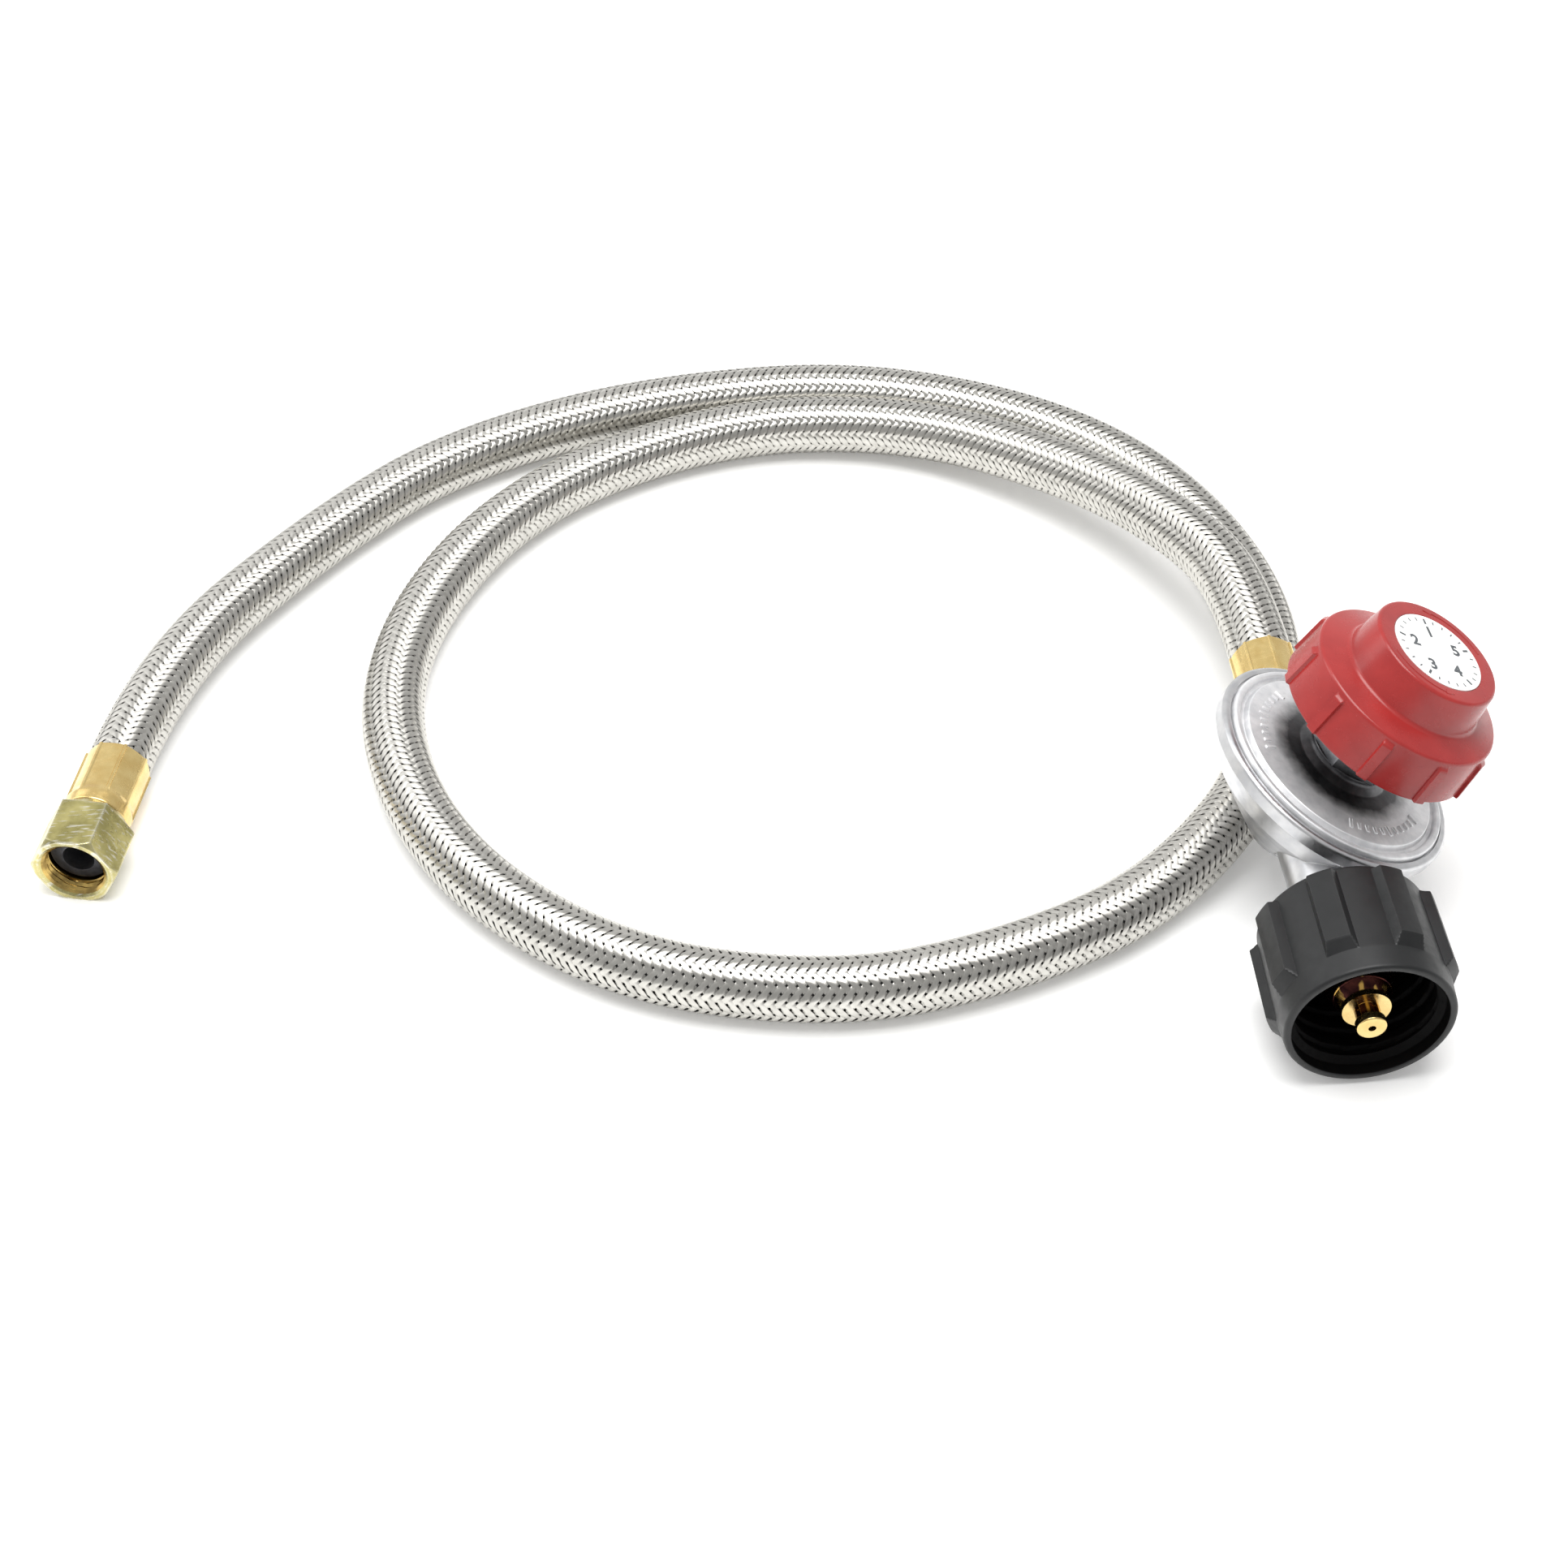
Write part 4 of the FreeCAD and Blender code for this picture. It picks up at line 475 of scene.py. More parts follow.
SLOTS = {
    "knob_red": RED, "label_white": WHITE, "cast_zinc": ZINC, "bright_zinc": BRIGHT_ZINC,
    "bright_steel": STEEL, "steel_braid": BRAID, "brass": BRASS, "dark_brass": DARK_BRASS,
    "yellow_zinc": YELLOW_ZINC, "nut_black": BLACK, "bush_plastic": BUSH, "black_rubber": RUBBER,
}
for node in frame["nodes"].values():
    for used in node.material_slots:
        used.material = SLOTS[used.material.name]
# The nipple's nose takes the brass with painted shade and painted reflection streaks.
for shaded_nose in ("inlet_nipple", "nipple_probe"):
    frame["nodes"][shaded_nose].material_slots[0].material = NOSE_SHADE_AND_GLINTS


def dressed(piece, body, slot, *nodes, materials=None):
    """Give the piece its materials, by default its slot's material, and its body, and hide the CAD nodes it
    stands for.
    """
    for material in materials or [SLOTS[slot]]:
        piece.data.materials.append(material)
    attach(piece, body)
    if nodes:
        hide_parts(*nodes)
    return piece


# Camera

CAMERA_AT = (-0.1792, -0.4845, 0.5146)
AZIMUTH, DOWN = math.radians(5.32), math.radians(43.66)
SENSOR, LENS, NEAREST_M = 36.0, 67.94, 0.01


def photographed():
    """The camera as it stood for the photograph, in metres."""
    look = Vector((math.sin(AZIMUTH) * math.cos(DOWN), math.cos(AZIMUTH) * math.cos(DOWN), -math.sin(DOWN)))
    camera = bpy.data.objects.new("camera", bpy.data.cameras.new("camera"))
    camera.data.sensor_width = SENSOR
    camera.data.lens = LENS
    camera.data.clip_start = NEAREST_M
    camera.location = CAMERA_AT
    camera.rotation_euler = look.to_track_quat("-Z", "Y").to_euler()
    bpy.context.scene.collection.objects.link(camera)
    bpy.context.scene.camera = camera


# The hose

# Control points of the hose's middle line in the scene, from the outlet's ferrule to the far one.
ROUTE = [
    (-8.3, 59.822, 25.391), (-8.3, 83.806, 26.262), (-14.9, 109.3, 25.2), (-37.2, 150.8, 16.2),
    (-80.6, 187.2, 9.6), (-137.3, 192.0, 8.0), (-197.3, 160.5, 8.0), (-230.3, 96.0, 8.0), (-220.3, 33.0, 8.0),
    (-179.3, -12.5, 8.0), (-126.3, -28.0, 8.0), (-82.3, -20.5, 8.0), (-40.8, -1.0, 8.0), (-5.3, 44.0, 8.0),
    (4.7, 108.0, 8.0), (-22.3, 172.0, 8.0), (-84.3, 207.0, 8.0), (-152.3, 206.0, 8.0), (-209.3, 186.0, 8.0),
    (-246.3, 153.0, 8.0), (-285.602, 102.390, 9.525), (-294.376, 64.390, 9.525),
]
ROUTE_ORDER, ROUTE_STEPS = 3, 40
# Squared size of a turn so small that the line counts as straight.
STRAIGHT = 1e-18
# Strands each way and their lead. The gap between two strands is by turns a pinhole and a seam.
CARRIERS, LEAD = 12, 27.8
CELL = LEAD / (2 * CARRIERS)
PINHOLE, SEAM = 0.66, 0.04
# A strand's radius, its swing over and under the others, and the rise of its middle over its edges.
STRAND_MIDDLE, STRAND_SWING, STRAND_CROWN = 7.69, 0.20, 0.11
WEAVE_WAVES, WEAVE_PHASE = CARRIERS // 2, math.radians(7.5)
CORE_RADIUS, CORE_SIDES, CORE_EVERY = 7.3, 16, 8


def route_line():
    """The hose's middle line in mm, read from the route's NURBS spline."""
    curve = bpy.data.curves.new("hose_route", "CURVE")
    curve.dimensions = "3D"
    spline = curve.splines.new("NURBS")
    spline.points.add(len(ROUTE) - 1)
    for point, (x, y, z) in zip(spline.points, ROUTE):
        point.co = (x * MM, y * MM, z * MM, 1.0)
    spline.order_u = ROUTE_ORDER
    spline.use_endpoint_u = True
    spline.resolution_u = ROUTE_STEPS
    carrier = bpy.data.objects.new("hose_route", curve)
    line = bpy.data.meshes.new_from_object(carrier)
    points = np.array([v.co[:] for v in line.vertices]) / MM
    for unused, store in ((carrier, bpy.data.objects), (curve, bpy.data.curves), (line, bpy.data.meshes)):
        store.remove(unused)
    return points


def along(line, stations):
    """Points, tangents and twist-free normals of the line at lengths along it."""
    lengths = np.concatenate([[0], np.cumsum(np.linalg.norm(np.diff(line, axis=0), axis=1))])
    points = np.stack([np.interp(stations, lengths, line[:, k]) for k in range(3)], -1)
    tangents = np.gradient(points, axis=0)
    tangents /= np.linalg.norm(tangents, axis=1)[:, None]
    normals = np.empty_like(points)
    normals[0] = unit(np.cross(tangents[0], X_AXIS))
    for k in range(1, len(points)):
        step = points[k] - points[k - 1]
        mirror = step @ step
        n = normals[k - 1] - 2 * (step @ normals[k - 1]) / mirror * step
        t = tangents[k - 1] - 2 * (step @ tangents[k - 1]) / mirror * step
        turn = tangents[k] - t
        size = turn @ turn
        normals[k] = n - 2 * (turn @ n) / size * turn if size > STRAIGHT else n
    return points, tangents, normals


def hose():
    """Strands woven over and under each other, each three points wide, round a dark core, as one mesh."""
    line = route_line()
    total = np.linalg.norm(np.diff(line, axis=0), axis=1).sum()
    stations = np.linspace(0, total, 2 * round(total / CELL) + 1)
    points, tangents, normals = along(line, stations)
    sides = np.cross(tangents, normals)
    count = len(stations)
    order = np.arange(count)
    phase = order * TAU / (4 * CARRIERS)
    half = np.where(order % 2 == 0, CELL - PINHOLE / 2, CELL - SEAM / 2)
    blocks, faces, uvs = [], [], []
    for hand in (1, -1):
        for k in range(CARRIERS):
            angle = hand * phase + TAU * k / CARRIERS
            lift = hand * STRAND_SWING * np.sin(WEAVE_WAVES * (angle - WEAVE_PHASE))
            ring = normals * np.cos(angle)[:, None] + sides * np.sin(angle)[:, None]
            for lane in (0, 1):
                a = (len(blocks) + lane) * count + order[:-1]
                b = a + count
                faces.append(np.stack([a, b, b + 1, a + 1] if hand > 0 else [a, a + 1, b + 1, b], -1))
            for offset, rise in ((-1, -STRAND_CROWN), (0, STRAND_CROWN), (1, -STRAND_CROWN)):
                radius = STRAND_MIDDLE + lift + rise
                blocks.append(points + ring * radius[:, None] + tangents * (offset * half)[:, None])
                uvs.append(np.stack([np.full(count, offset / 2 + 0.5), stations / LEAD], -1))
    around = np.linspace(0, TAU, CORE_SIDES, endpoint=False)[None, :, None]
    ring = normals[::CORE_EVERY, None] * np.cos(around) + sides[::CORE_EVERY, None] * np.sin(around)
    core = (points[::CORE_EVERY, None] + ring * CORE_RADIUS).reshape(-1, 3)
    core_faces = grid_faces(len(ring), CORE_SIDES, False) + len(blocks) * count
    strand_faces = np.concatenate(faces)
    all_faces = np.concatenate([strand_faces, core_faces])
    mesh = bpy.data.meshes.new("braided_hose")
    mesh.from_pydata((np.concatenate(blocks + [core]) * MM).tolist(), [], all_faces.tolist())
    mesh.shade_smooth()
    layer = mesh.uv_layers.new(name="strand")
    flat = np.concatenate(uvs + [np.zeros((len(core), 2))])[all_faces.ravel()]
    layer.data.foreach_set("uv", flat.astype(np.float32).ravel())
    piece = bpy.data.objects.new("braided_hose", mesh)
    bpy.context.scene.collection.objects.link(piece)
    dressed(piece, "regulator", "steel_braid", "hose_braid", "hose_liner", materials=[BRAID, GAP])
    slots = np.repeat([0, 1], [len(strand_faces), len(core_faces)]).astype(np.int32)
    mesh.polygons.foreach_set("material_index", slots)
    return piece, points * MM


# Ferrules

OUTLET_CRIMP_AT, END_CRIMP_AT = 29.2, 17.05
FERRULE_RADIUS, FERRULE_COLLAR, FERRULE_BORE, FERRULE_LENGTH = 8.5, 8.4, 6.9, 20.4
STEM_HOLE, CUP_FLOOR = 5.0, 2.0
COLLAR_END, CRIMP_START, PRESS_START, PRESS_RUN = 2.35, 3.0, 3.2, 2.6
FERRULE_ROUND, FERRULE_CUT, FERRULE_CUT_FROM = 0.25, 0.4, 2.9
CRIMPS, CRIMP_LOW, CRIMP_HIGH, CRIMP_STEPS = 8, 7.9, 8.17, 9
FIN, FIN_SLOPE = math.radians(1.9), math.radians(1.6)


def ferrule(name, start, at, node):
    """Brass cup with a smooth collar and faces pressed along it, with a narrow fin between two faces."""
    end = start + FERRULE_LENGTH
    profile = rounded([
        (STEM_HOLE, start), (FERRULE_COLLAR, start, 0.5), (FERRULE_COLLAR, start + COLLAR_END),
        (FERRULE_RADIUS, start + CRIMP_START), (FERRULE_RADIUS, end, FERRULE_ROUND), (FERRULE_BORE, end, 0.3),
        (FERRULE_BORE, start + CUP_FLOOR), (STEM_HOLE, start + CUP_FLOOR),
    ])
    profile = divided(profile, FERRULE_CUT, start + FERRULE_CUT_FROM, end - FERRULE_ROUND)
    gap = TAU / CRIMPS
    fins = [gap * (k + 0.5) for k in range(CRIMPS)]
    edges = [FIN * 0.5, FIN, FIN + FIN_SLOPE * 0.5, FIN + FIN_SLOPE]
    angles = feature_angles(fins, CRIMP_STEPS, edges)

    def pressed(r, h, t):
        turn = off_centre(t, gap)
        face = CRIMP_LOW + (CRIMP_HIGH - CRIMP_LOW) * (turn / (gap / 2)) ** 2
        fin = ease((turn - (gap / 2 - FIN - FIN_SLOPE)) / FIN_SLOPE)
        depth = (FERRULE_RADIUS - face) * (1 - fin) * ease((h - start - PRESS_START) / PRESS_RUN)
        share = (r - FERRULE_BORE) / (FERRULE_RADIUS - FERRULE_BORE)
        return np.where(r > FERRULE_BORE, r - depth * share, r)

    return dressed(turned(name, profile, angles, at, pressed, crease=30), "regulator", "brass", node)


# Knob

SKIRT_FOOT, SKIRT_RADIUS, SKIRT_BORE = 29.2, 25.0, 22.8
SKIRT_TOP, SKIRT_TOP_RADIUS = 41.63, 24.157
SKIRT_CEILING, SKIRT_CEILING_RADIUS = 39.6, 22.4
SHOULDER, SHOULDER_RADIUS = 43.45, 17.5
CAP_RING, CAP_RADIUS = 53.05, 16.17
CAP_FOOT, CAP_FOOT_RADIUS = 41.0, 14.9
CAP_CEILING, CAP_BORE = 50.7, 14.5
LABEL_SEAT, LABEL_SEAT_RADIUS = 52.7, 11.95
SCREW_SEAT, SCREW_SEAT_RADIUS = 51.2, 3.3
HUB_FOOT, HUB_RADIUS, HUB_BORE = 46.2, 8.5, 1.6
RIBS, RIB_PHASE, RIB_HEIGHT, RIB_WIDTH, RIB_TOP, RIB_FADE = 10, math.radians(27.9), 0.8, 3.0, 40.4, 1.0
RIB_RAMP, RIB_ROOT_RADIUS, RIB_ROOT_TOP = 0.3, 23.9, 41.0
# The knob's painted shade goes on its inside: what lies in this space and faces the axis or the floor.
INSIDE_LOW, INSIDE_HIGH, INSIDE_RADIUS = 29.6, 52.5, 23.4
FACES_AXIS, FACES_FLOOR, LEAST_RADIUS = -0.3, -0.5, 0.001
# Step of the cuts along the wall, the heights they lie between, and the steps round it between two ribs.
SKIRT_CUTS, SKIRT_STEPS = (0.4, 29.0, 41.4), 15


def knob():
    """Stepped cap on a ribbed skirt, hollow below, with a hub for its screw and two arrows on top."""
    profile = rounded([
        (SKIRT_BORE, SKIRT_FOOT, 0.25), (SKIRT_RADIUS, SKIRT_FOOT, 0.35), (SKIRT_TOP_RADIUS, SKIRT_TOP, 0.9),
        (SHOULDER_RADIUS, SHOULDER, 1.3), (CAP_RADIUS, CAP_RING, 0.9), (LABEL_SEAT_RADIUS, CAP_RING, 0.2),
        (LABEL_SEAT_RADIUS, LABEL_SEAT), (SCREW_SEAT_RADIUS, LABEL_SEAT), (SCREW_SEAT_RADIUS, SCREW_SEAT),
        (HUB_BORE, SCREW_SEAT), (HUB_BORE, HUB_FOOT), (HUB_RADIUS, HUB_FOOT), (HUB_RADIUS, CAP_CEILING),
        (CAP_BORE, CAP_CEILING), (CAP_FOOT_RADIUS, CAP_FOOT), (SKIRT_CEILING_RADIUS, SKIRT_CEILING),
    ], steps=8)
    profile = divided(profile, *SKIRT_CUTS)
    half, ramp = RIB_WIDTH / 2 / SKIRT_RADIUS, RIB_RAMP / SKIRT_RADIUS
    edges = [half * 0.6, half - ramp, half - ramp * 0.6, half - ramp * 0.3, half, half + ramp * 0.4]
    angles = feature_angles([RIB_PHASE + TAU * k / RIBS for k in range(RIBS)], SKIRT_STEPS, edges)

    def ribbed(r, h, t):
        bar = ease((half - off_centre(t - RIB_PHASE, TAU / RIBS)) / ramp)
        stands = (r > RIB_ROOT_RADIUS) & (h < RIB_ROOT_TOP)
        return r + RIB_HEIGHT * bar * ease((RIB_TOP - h) / RIB_FADE) * stands

    shell = turned("knob_shell", profile, angles, REGULATOR, ribbed, crease=40)
    shell = joined("knob_shell", [shell] + [arrow(k, start) for k, start in enumerate(ARROW_STARTS)])
    dressed(shell, "knob", "knob_red", "control_knob", materials=[RED, RED_PAINTED_SHADE])
    # Faces of the hollow inside get the red with painted shade.
    axes, _ = REGULATOR
    for face in shell.data.polygons:
        x, y, h = own(face.center, REGULATOR)
        way = axes @ np.array(face.normal)
        radius = math.hypot(x, y)
        outward = (way[0] * x + way[1] * y) / max(radius, LEAST_RADIUS)
        turned_in = outward < FACES_AXIS or way[2] < FACES_FLOOR
        in_painted_shade = turned_in and INSIDE_LOW < h < INSIDE_HIGH and radius < INSIDE_RADIUS
        face.material_index = 1 if in_painted_shade else 0


ARROW_STARTS = (math.radians(20), math.radians(200))
ARROW_RADIUS, ARROW_ROOT, ARROW_RISE, ARROW_TOP_SHARE = 14.0, 0.1, 0.14, 0.6
ARROW_WIDTH, ARROW_SWEEP, ARROW_STEPS = 0.55, math.radians(62), 19
HEAD_WIDTH, HEAD_TIP, HEAD_SWEEP, HEAD_STEPS = 1.9, 0.1, math.radians(9), 5


def arrow(number, start):
    """A thin raised arrow bent round the cap's rim, with its head at the end of its sweep."""
    sweep = np.append(np.linspace(0, ARROW_SWEEP, ARROW_STEPS),
                      np.linspace(ARROW_SWEEP, ARROW_SWEEP + HEAD_SWEEP, HEAD_STEPS))
    widths = np.append(np.full(ARROW_STEPS, ARROW_WIDTH), np.linspace(HEAD_WIDTH, HEAD_TIP, HEAD_STEPS))
    low, high = CAP_RING - ARROW_ROOT, CAP_RING + ARROW_RISE
    corners = ((-1, low, 1.0), (-1, high, ARROW_TOP_SHARE), (1, high, ARROW_TOP_SHARE), (1, low, 1.0))
    rows = []
    for angle, width in zip(sweep + start, widths):
        for side, height, share in corners:
            radius = ARROW_RADIUS + side * width * share / 2
            rows.append((radius * math.cos(angle), radius * math.sin(angle), height))
    last = len(rows) - len(corners)
    ends = [(0, 1, 2, 3), (last, last + 1, last + 2, last + 3)]
    faces = grid_faces(len(sweep), len(corners), False).tolist() + ends
    return mesh_piece("arrow_%d" % number, np.array(rows), faces, REGULATOR, crease=30)


# Dial

DIAL_RADIUS, DIAL_FACE, DIAL_SIDES = 11.8, 53.1, 96
INK_ROOT, INK_RISE = 0.01, 0.02
DIAL_TICKS, DIAL_NUMBERS, DIAL_START = 25, 5, math.radians(96)
TICK_END, LONG_TICK_START, LONG_TICK_WIDTH, TICK_START, TICK_WIDTH = 10.7, 9.0, 0.6, 9.7, 0.34
NUMBER_RADIUS, NUMBER_SIZE, NUMBER_WEIGHT, NUMBER_RISE, NUMBER_TURN = 6.3, 4.6, 0.15, 0.01, math.radians(6)
BAR_FACES = [(0, 3, 2, 1), (4, 5, 6, 7), (0, 1, 5, 4), (1, 2, 6, 5), (2, 3, 7, 6), (3, 0, 4, 7)]


def ways(angle):
    """Unit vectors along a radius of the frame's plane and across it."""
    return np.array([math.cos(angle), math.sin(angle)]), np.array([-math.sin(angle), math.cos(angle)])


def figure(text):
    """A dial number as a flat mesh in mm, centred on its own middle."""
    curve = bpy.data.curves.new("figure", "FONT")
    curve.body, curve.size, curve.extrude, curve.offset = text, NUMBER_SIZE, NUMBER_RISE, NUMBER_WEIGHT
    curve.align_x = curve.align_y = "CENTER"
    carrier = bpy.data.objects.new("figure", curve)
    mesh = bpy.data.meshes.new_from_object(carrier)
    bpy.data.objects.remove(carrier)
    bpy.data.curves.remove(curve)
    return mesh


def dial():
    """White disc with a scale of ticks round it and generic dial numbers."""
    profile = rounded([(0.0, LABEL_SEAT), (DIAL_RADIUS, LABEL_SEAT), (DIAL_RADIUS, DIAL_FACE, 0.12),
                       (0.0, DIAL_FACE)])
    disc = turned("dial_disc", profile, even_angles(DIAL_SIDES), REGULATOR)
    dressed(disc, "knob", "label_white", "knob_label")
    points, faces = [], []
    for k in range(DIAL_TICKS):
        long = k % (DIAL_TICKS // DIAL_NUMBERS) == 0
        start, width = (LONG_TICK_START, LONG_TICK_WIDTH) if long else (TICK_START, TICK_WIDTH)
        outward, across = ways(TAU * k / DIAL_TICKS + DIAL_START)
        faces += [tuple(len(points) + i for i in face) for face in BAR_FACES]
        for height in (DIAL_FACE - INK_ROOT, DIAL_FACE + INK_RISE):
            for radius, side in ((start, -1), (TICK_END, -1), (TICK_END, 1), (start, 1)):
                points.append((*(outward * radius + across * side * width / 2), height))
    pieces = [mesh_piece("dial_scale", np.array(points), faces, REGULATOR, crease=30)]
    turn_cos, turn_sin = math.cos(NUMBER_TURN), math.sin(NUMBER_TURN)
    spin = np.array([[turn_cos, turn_sin, 0], [-turn_sin, turn_cos, 0], [0, 0, 1]])
    for k in range(DIAL_NUMBERS):
        mesh = figure(str(k + 1))
        flat = np.array([v.co[:] for v in mesh.vertices])
        outward, _ = ways(TAU * k / DIAL_NUMBERS + DIAL_START)
        spot = np.array([*(outward * NUMBER_RADIUS), DIAL_FACE + NUMBER_RISE])
        spread = placed(flat @ spin + spot, REGULATOR)
        mesh.vertices.foreach_set("co", (spread * MM).astype(np.float32).ravel())
        mesh.materials.clear()
        item = bpy.data.objects.new("dial_number_%d" % (k + 1), mesh)
        bpy.context.scene.collection.objects.link(item)
        pieces.append(item)
    dressed(joined("dial_scale", pieces), "knob", "label_white", materials=[INK])


# Hand nut

NUT_LENGTH, NUT_RADIUS, NUT_END_RADIUS, NUT_BORE = 30.5, 20.0, 19.6, 9.2
NUT_MOUTH_RADIUS, COUNTERBORE = 17.8, 3.2
ACME_RADIUS, ACME_START, ACME_END, ACME_PITCH = 16.2, 4.5, 19.0, 5.08
ACME_CREST, ACME_FLANK, ACME_DEPTH, ACME_FADE, ACME_FADE_RUN = 0.42, 0.22, 0.85, 0.1, 1.0
RELIEF_RADIUS, RELIEF_START, NUT_FLOOR = 16.8, 19.6, 25.6
NUT_RIBS, NUT_RIB_HEIGHT, NUT_RIB_BASE, NUT_RIB_TOP = 8, 2.1, 7.6, 5.2
NUT_RIB_FRONT, NUT_RIB_TOE, NUT_RIB_END, NUT_RIB_END_RUN = 8.8, 6.2, 29.3, 0.5
# Ribs stand on what lies outside this radius and behind this height.
NUT_SKIN, NUT_FRONT = 18.5, 1.0
# The nut's inside, nearer the axis than this radius and less than this far back from the mouth, gets painted
# shade.
NUT_SHADE_RADIUS, NUT_SHADE_END = 17.85, 26.0
NUT_CUTS, NUT_STEPS, EDGE_INNER, EDGE_OUTER = (0.3, 0.5, 30.2), 6, 0.2, 0.25
# A point this close to a thread's radius lies on its wall.
AT_WALL = 0.01


def hand_nut():
    """Eight-ribbed nut with a carved thread. Heights are distances back from the mouth."""
    profile = rounded([
        (NUT_BORE, NUT_LENGTH, 0.4), (NUT_END_RADIUS, NUT_LENGTH, 0.8), (NUT_RADIUS, NUT_RIB_TOE),
        (NUT_END_RADIUS, 0.0, 0.9), (NUT_MOUTH_RADIUS, 0.0, 0.5), (NUT_MOUTH_RADIUS, COUNTERBORE, 0.2),
        (ACME_RADIUS, ACME_START, 0.2), (ACME_RADIUS, ACME_END), (RELIEF_RADIUS, RELIEF_START),
        (RELIEF_RADIUS, NUT_FLOOR), (NUT_BORE, NUT_FLOOR),
    ], steps=6)
    profile = divided(profile, *NUT_CUTS)
    gap, base, top = TAU / NUT_RIBS, NUT_RIB_BASE / 2, NUT_RIB_TOP / 2
    edges = np.array([top * 0.5, top - EDGE_INNER, top, top + EDGE_OUTER, (base + top) / 2, base - EDGE_OUTER,
                      base, base + EDGE_INNER]) / NUT_RADIUS
    angles = feature_angles([gap * (k + 0.5) for k in range(NUT_RIBS)], NUT_STEPS, edges)

    def shaped(r, h, t):
        side = (base - off_centre(t - gap / 2, gap) * NUT_RADIUS) / (base - top)
        front = (h - NUT_RIB_TOE) / (NUT_RIB_FRONT - NUT_RIB_TOE)
        rear = (NUT_RIB_END - h) / NUT_RIB_END_RUN
        rise = np.clip(np.minimum(np.minimum(side, front), rear), 0, 1)
        tooth = np.abs(((h - ACME_START) / ACME_PITCH - t / TAU) % 1.0 - 0.5) * 2
        fade_in = ease((h - ACME_START - ACME_FADE) / ACME_FADE_RUN)
        fade_out = ease((ACME_END - ACME_FADE - h) / ACME_FADE_RUN)
        groove = ease((tooth - ACME_CREST) / ACME_FLANK) * ACME_DEPTH * fade_in * fade_out
        outside = (r > NUT_SKIN) & (h > NUT_FRONT)
        return r + NUT_RIB_HEIGHT * rise * outside + groove * (np.abs(r - ACME_RADIUS) < AT_WALL)

    piece = turned("nut_shell", profile, angles, NUT, shaped, crease=30)
    dressed(piece, "cylinder_nut", "nut_black", "hand_nut", materials=[BLACK, BLACK_PAINTED_SHADE])
    # Its inside gets the black with painted shade.
    inside_painted(piece, NUT, NUT_SHADE_RADIUS, NUT_SHADE_END)


# Flare nut

FLATS, FLARE_FLATS, FLARE_LENGTH, FLARE_CORNER, CORNER_TRIM = 6, 19.05, 16.7, 11.0, 0.06
FLARE_FRONT_RADIUS, FLARE_FRONT = 9.75, 1.2
FLARE_REAR_RADIUS, FLARE_REAR = 8.55, 1.92
FLARE_MOUTH, FLARE_BORE, FLARE_SKIN = 8.6, 5.05, 8.7
UNF_RADIUS, UNF_START, UNF_END, UNF_PITCH = 7.25, 1.0, 4.4, 1.411
UNF_DEPTH, UNF_FADE_IN, UNF_FADE_IN_RUN, UNF_FADE_OUT, UNF_FADE_OUT_RUN = 0.62, 0.9, 0.5, 4.5, 0.4
SEAT_RADIUS, SEAT_START, SEAT_FLOOR = 7.6, 4.8, 13.5
FLARE_INSIDE_RADIUS, FLARE_INSIDE_END = 7.95, 16.0
FLARE_CUTS, FLAT_STEPS, CORNER_EDGES = (0.16, 0.0, 16.6), 14, (0.02, 0.05, 0.085, 0.12)


def flare_nut():
    """Hexagon chamfered to a cone at both ends, with a carved thread. Heights are back from the mouth."""
    profile = rounded([
        (FLARE_BORE, FLARE_LENGTH, 0.2), (FLARE_REAR_RADIUS, FLARE_LENGTH, 0.15),
        (FLARE_CORNER, FLARE_LENGTH - FLARE_REAR), (FLARE_CORNER, FLARE_FRONT),
        (FLARE_FRONT_RADIUS, 0.0, 0.2), (FLARE_MOUTH, 0.0, 0.2), (UNF_RADIUS, UNF_START),
        (UNF_RADIUS, UNF_END), (SEAT_RADIUS, SEAT_START), (SEAT_RADIUS, SEAT_FLOOR), (FLARE_BORE, SEAT_FLOOR),
    ])
    profile = divided(profile, *FLARE_CUTS)
    flat, gap = FLARE_FLATS / 2, TAU / FLATS
    angles = feature_angles([gap * k for k in range(FLATS)], FLAT_STEPS, CORNER_EDGES)

    def shaped(r, h, t):
        hexagon = flat / np.cos(gap / 2 - off_centre(t, gap))
        corner = flat / math.cos(gap / 2) - CORNER_TRIM
        front = FLARE_FRONT_RADIUS + h * (FLARE_CORNER - FLARE_FRONT_RADIUS) / FLARE_FRONT
        rear = FLARE_REAR_RADIUS + (FLARE_LENGTH - h) * (FLARE_CORNER - FLARE_REAR_RADIUS) / FLARE_REAR
        skin = np.minimum(np.minimum(np.minimum(hexagon, corner), front), rear)
        tooth = np.abs(((h - UNF_START) / UNF_PITCH - t / TAU) % 1.0 - 0.5) * 2
        fade_in = ease((h - UNF_FADE_IN) / UNF_FADE_IN_RUN)
        fade_out = ease((UNF_FADE_OUT - h) / UNF_FADE_OUT_RUN)
        groove = tooth * UNF_DEPTH * fade_in * fade_out * (np.abs(r - UNF_RADIUS) < AT_WALL)
        return np.where(r > FLARE_SKIN, np.minimum(r, skin), r) + groove

    piece = turned("flare_nut_shell", profile, angles, FAR, shaped, crease=25)
    dressed(piece, "swivel_nut", "yellow_zinc", "flare_nut", materials=[YELLOW_ZINC, YELLOW_THREAD])
    inside_painted(piece, FAR, FLARE_INSIDE_RADIUS, FLARE_INSIDE_END)
    return piece


# Bonnet

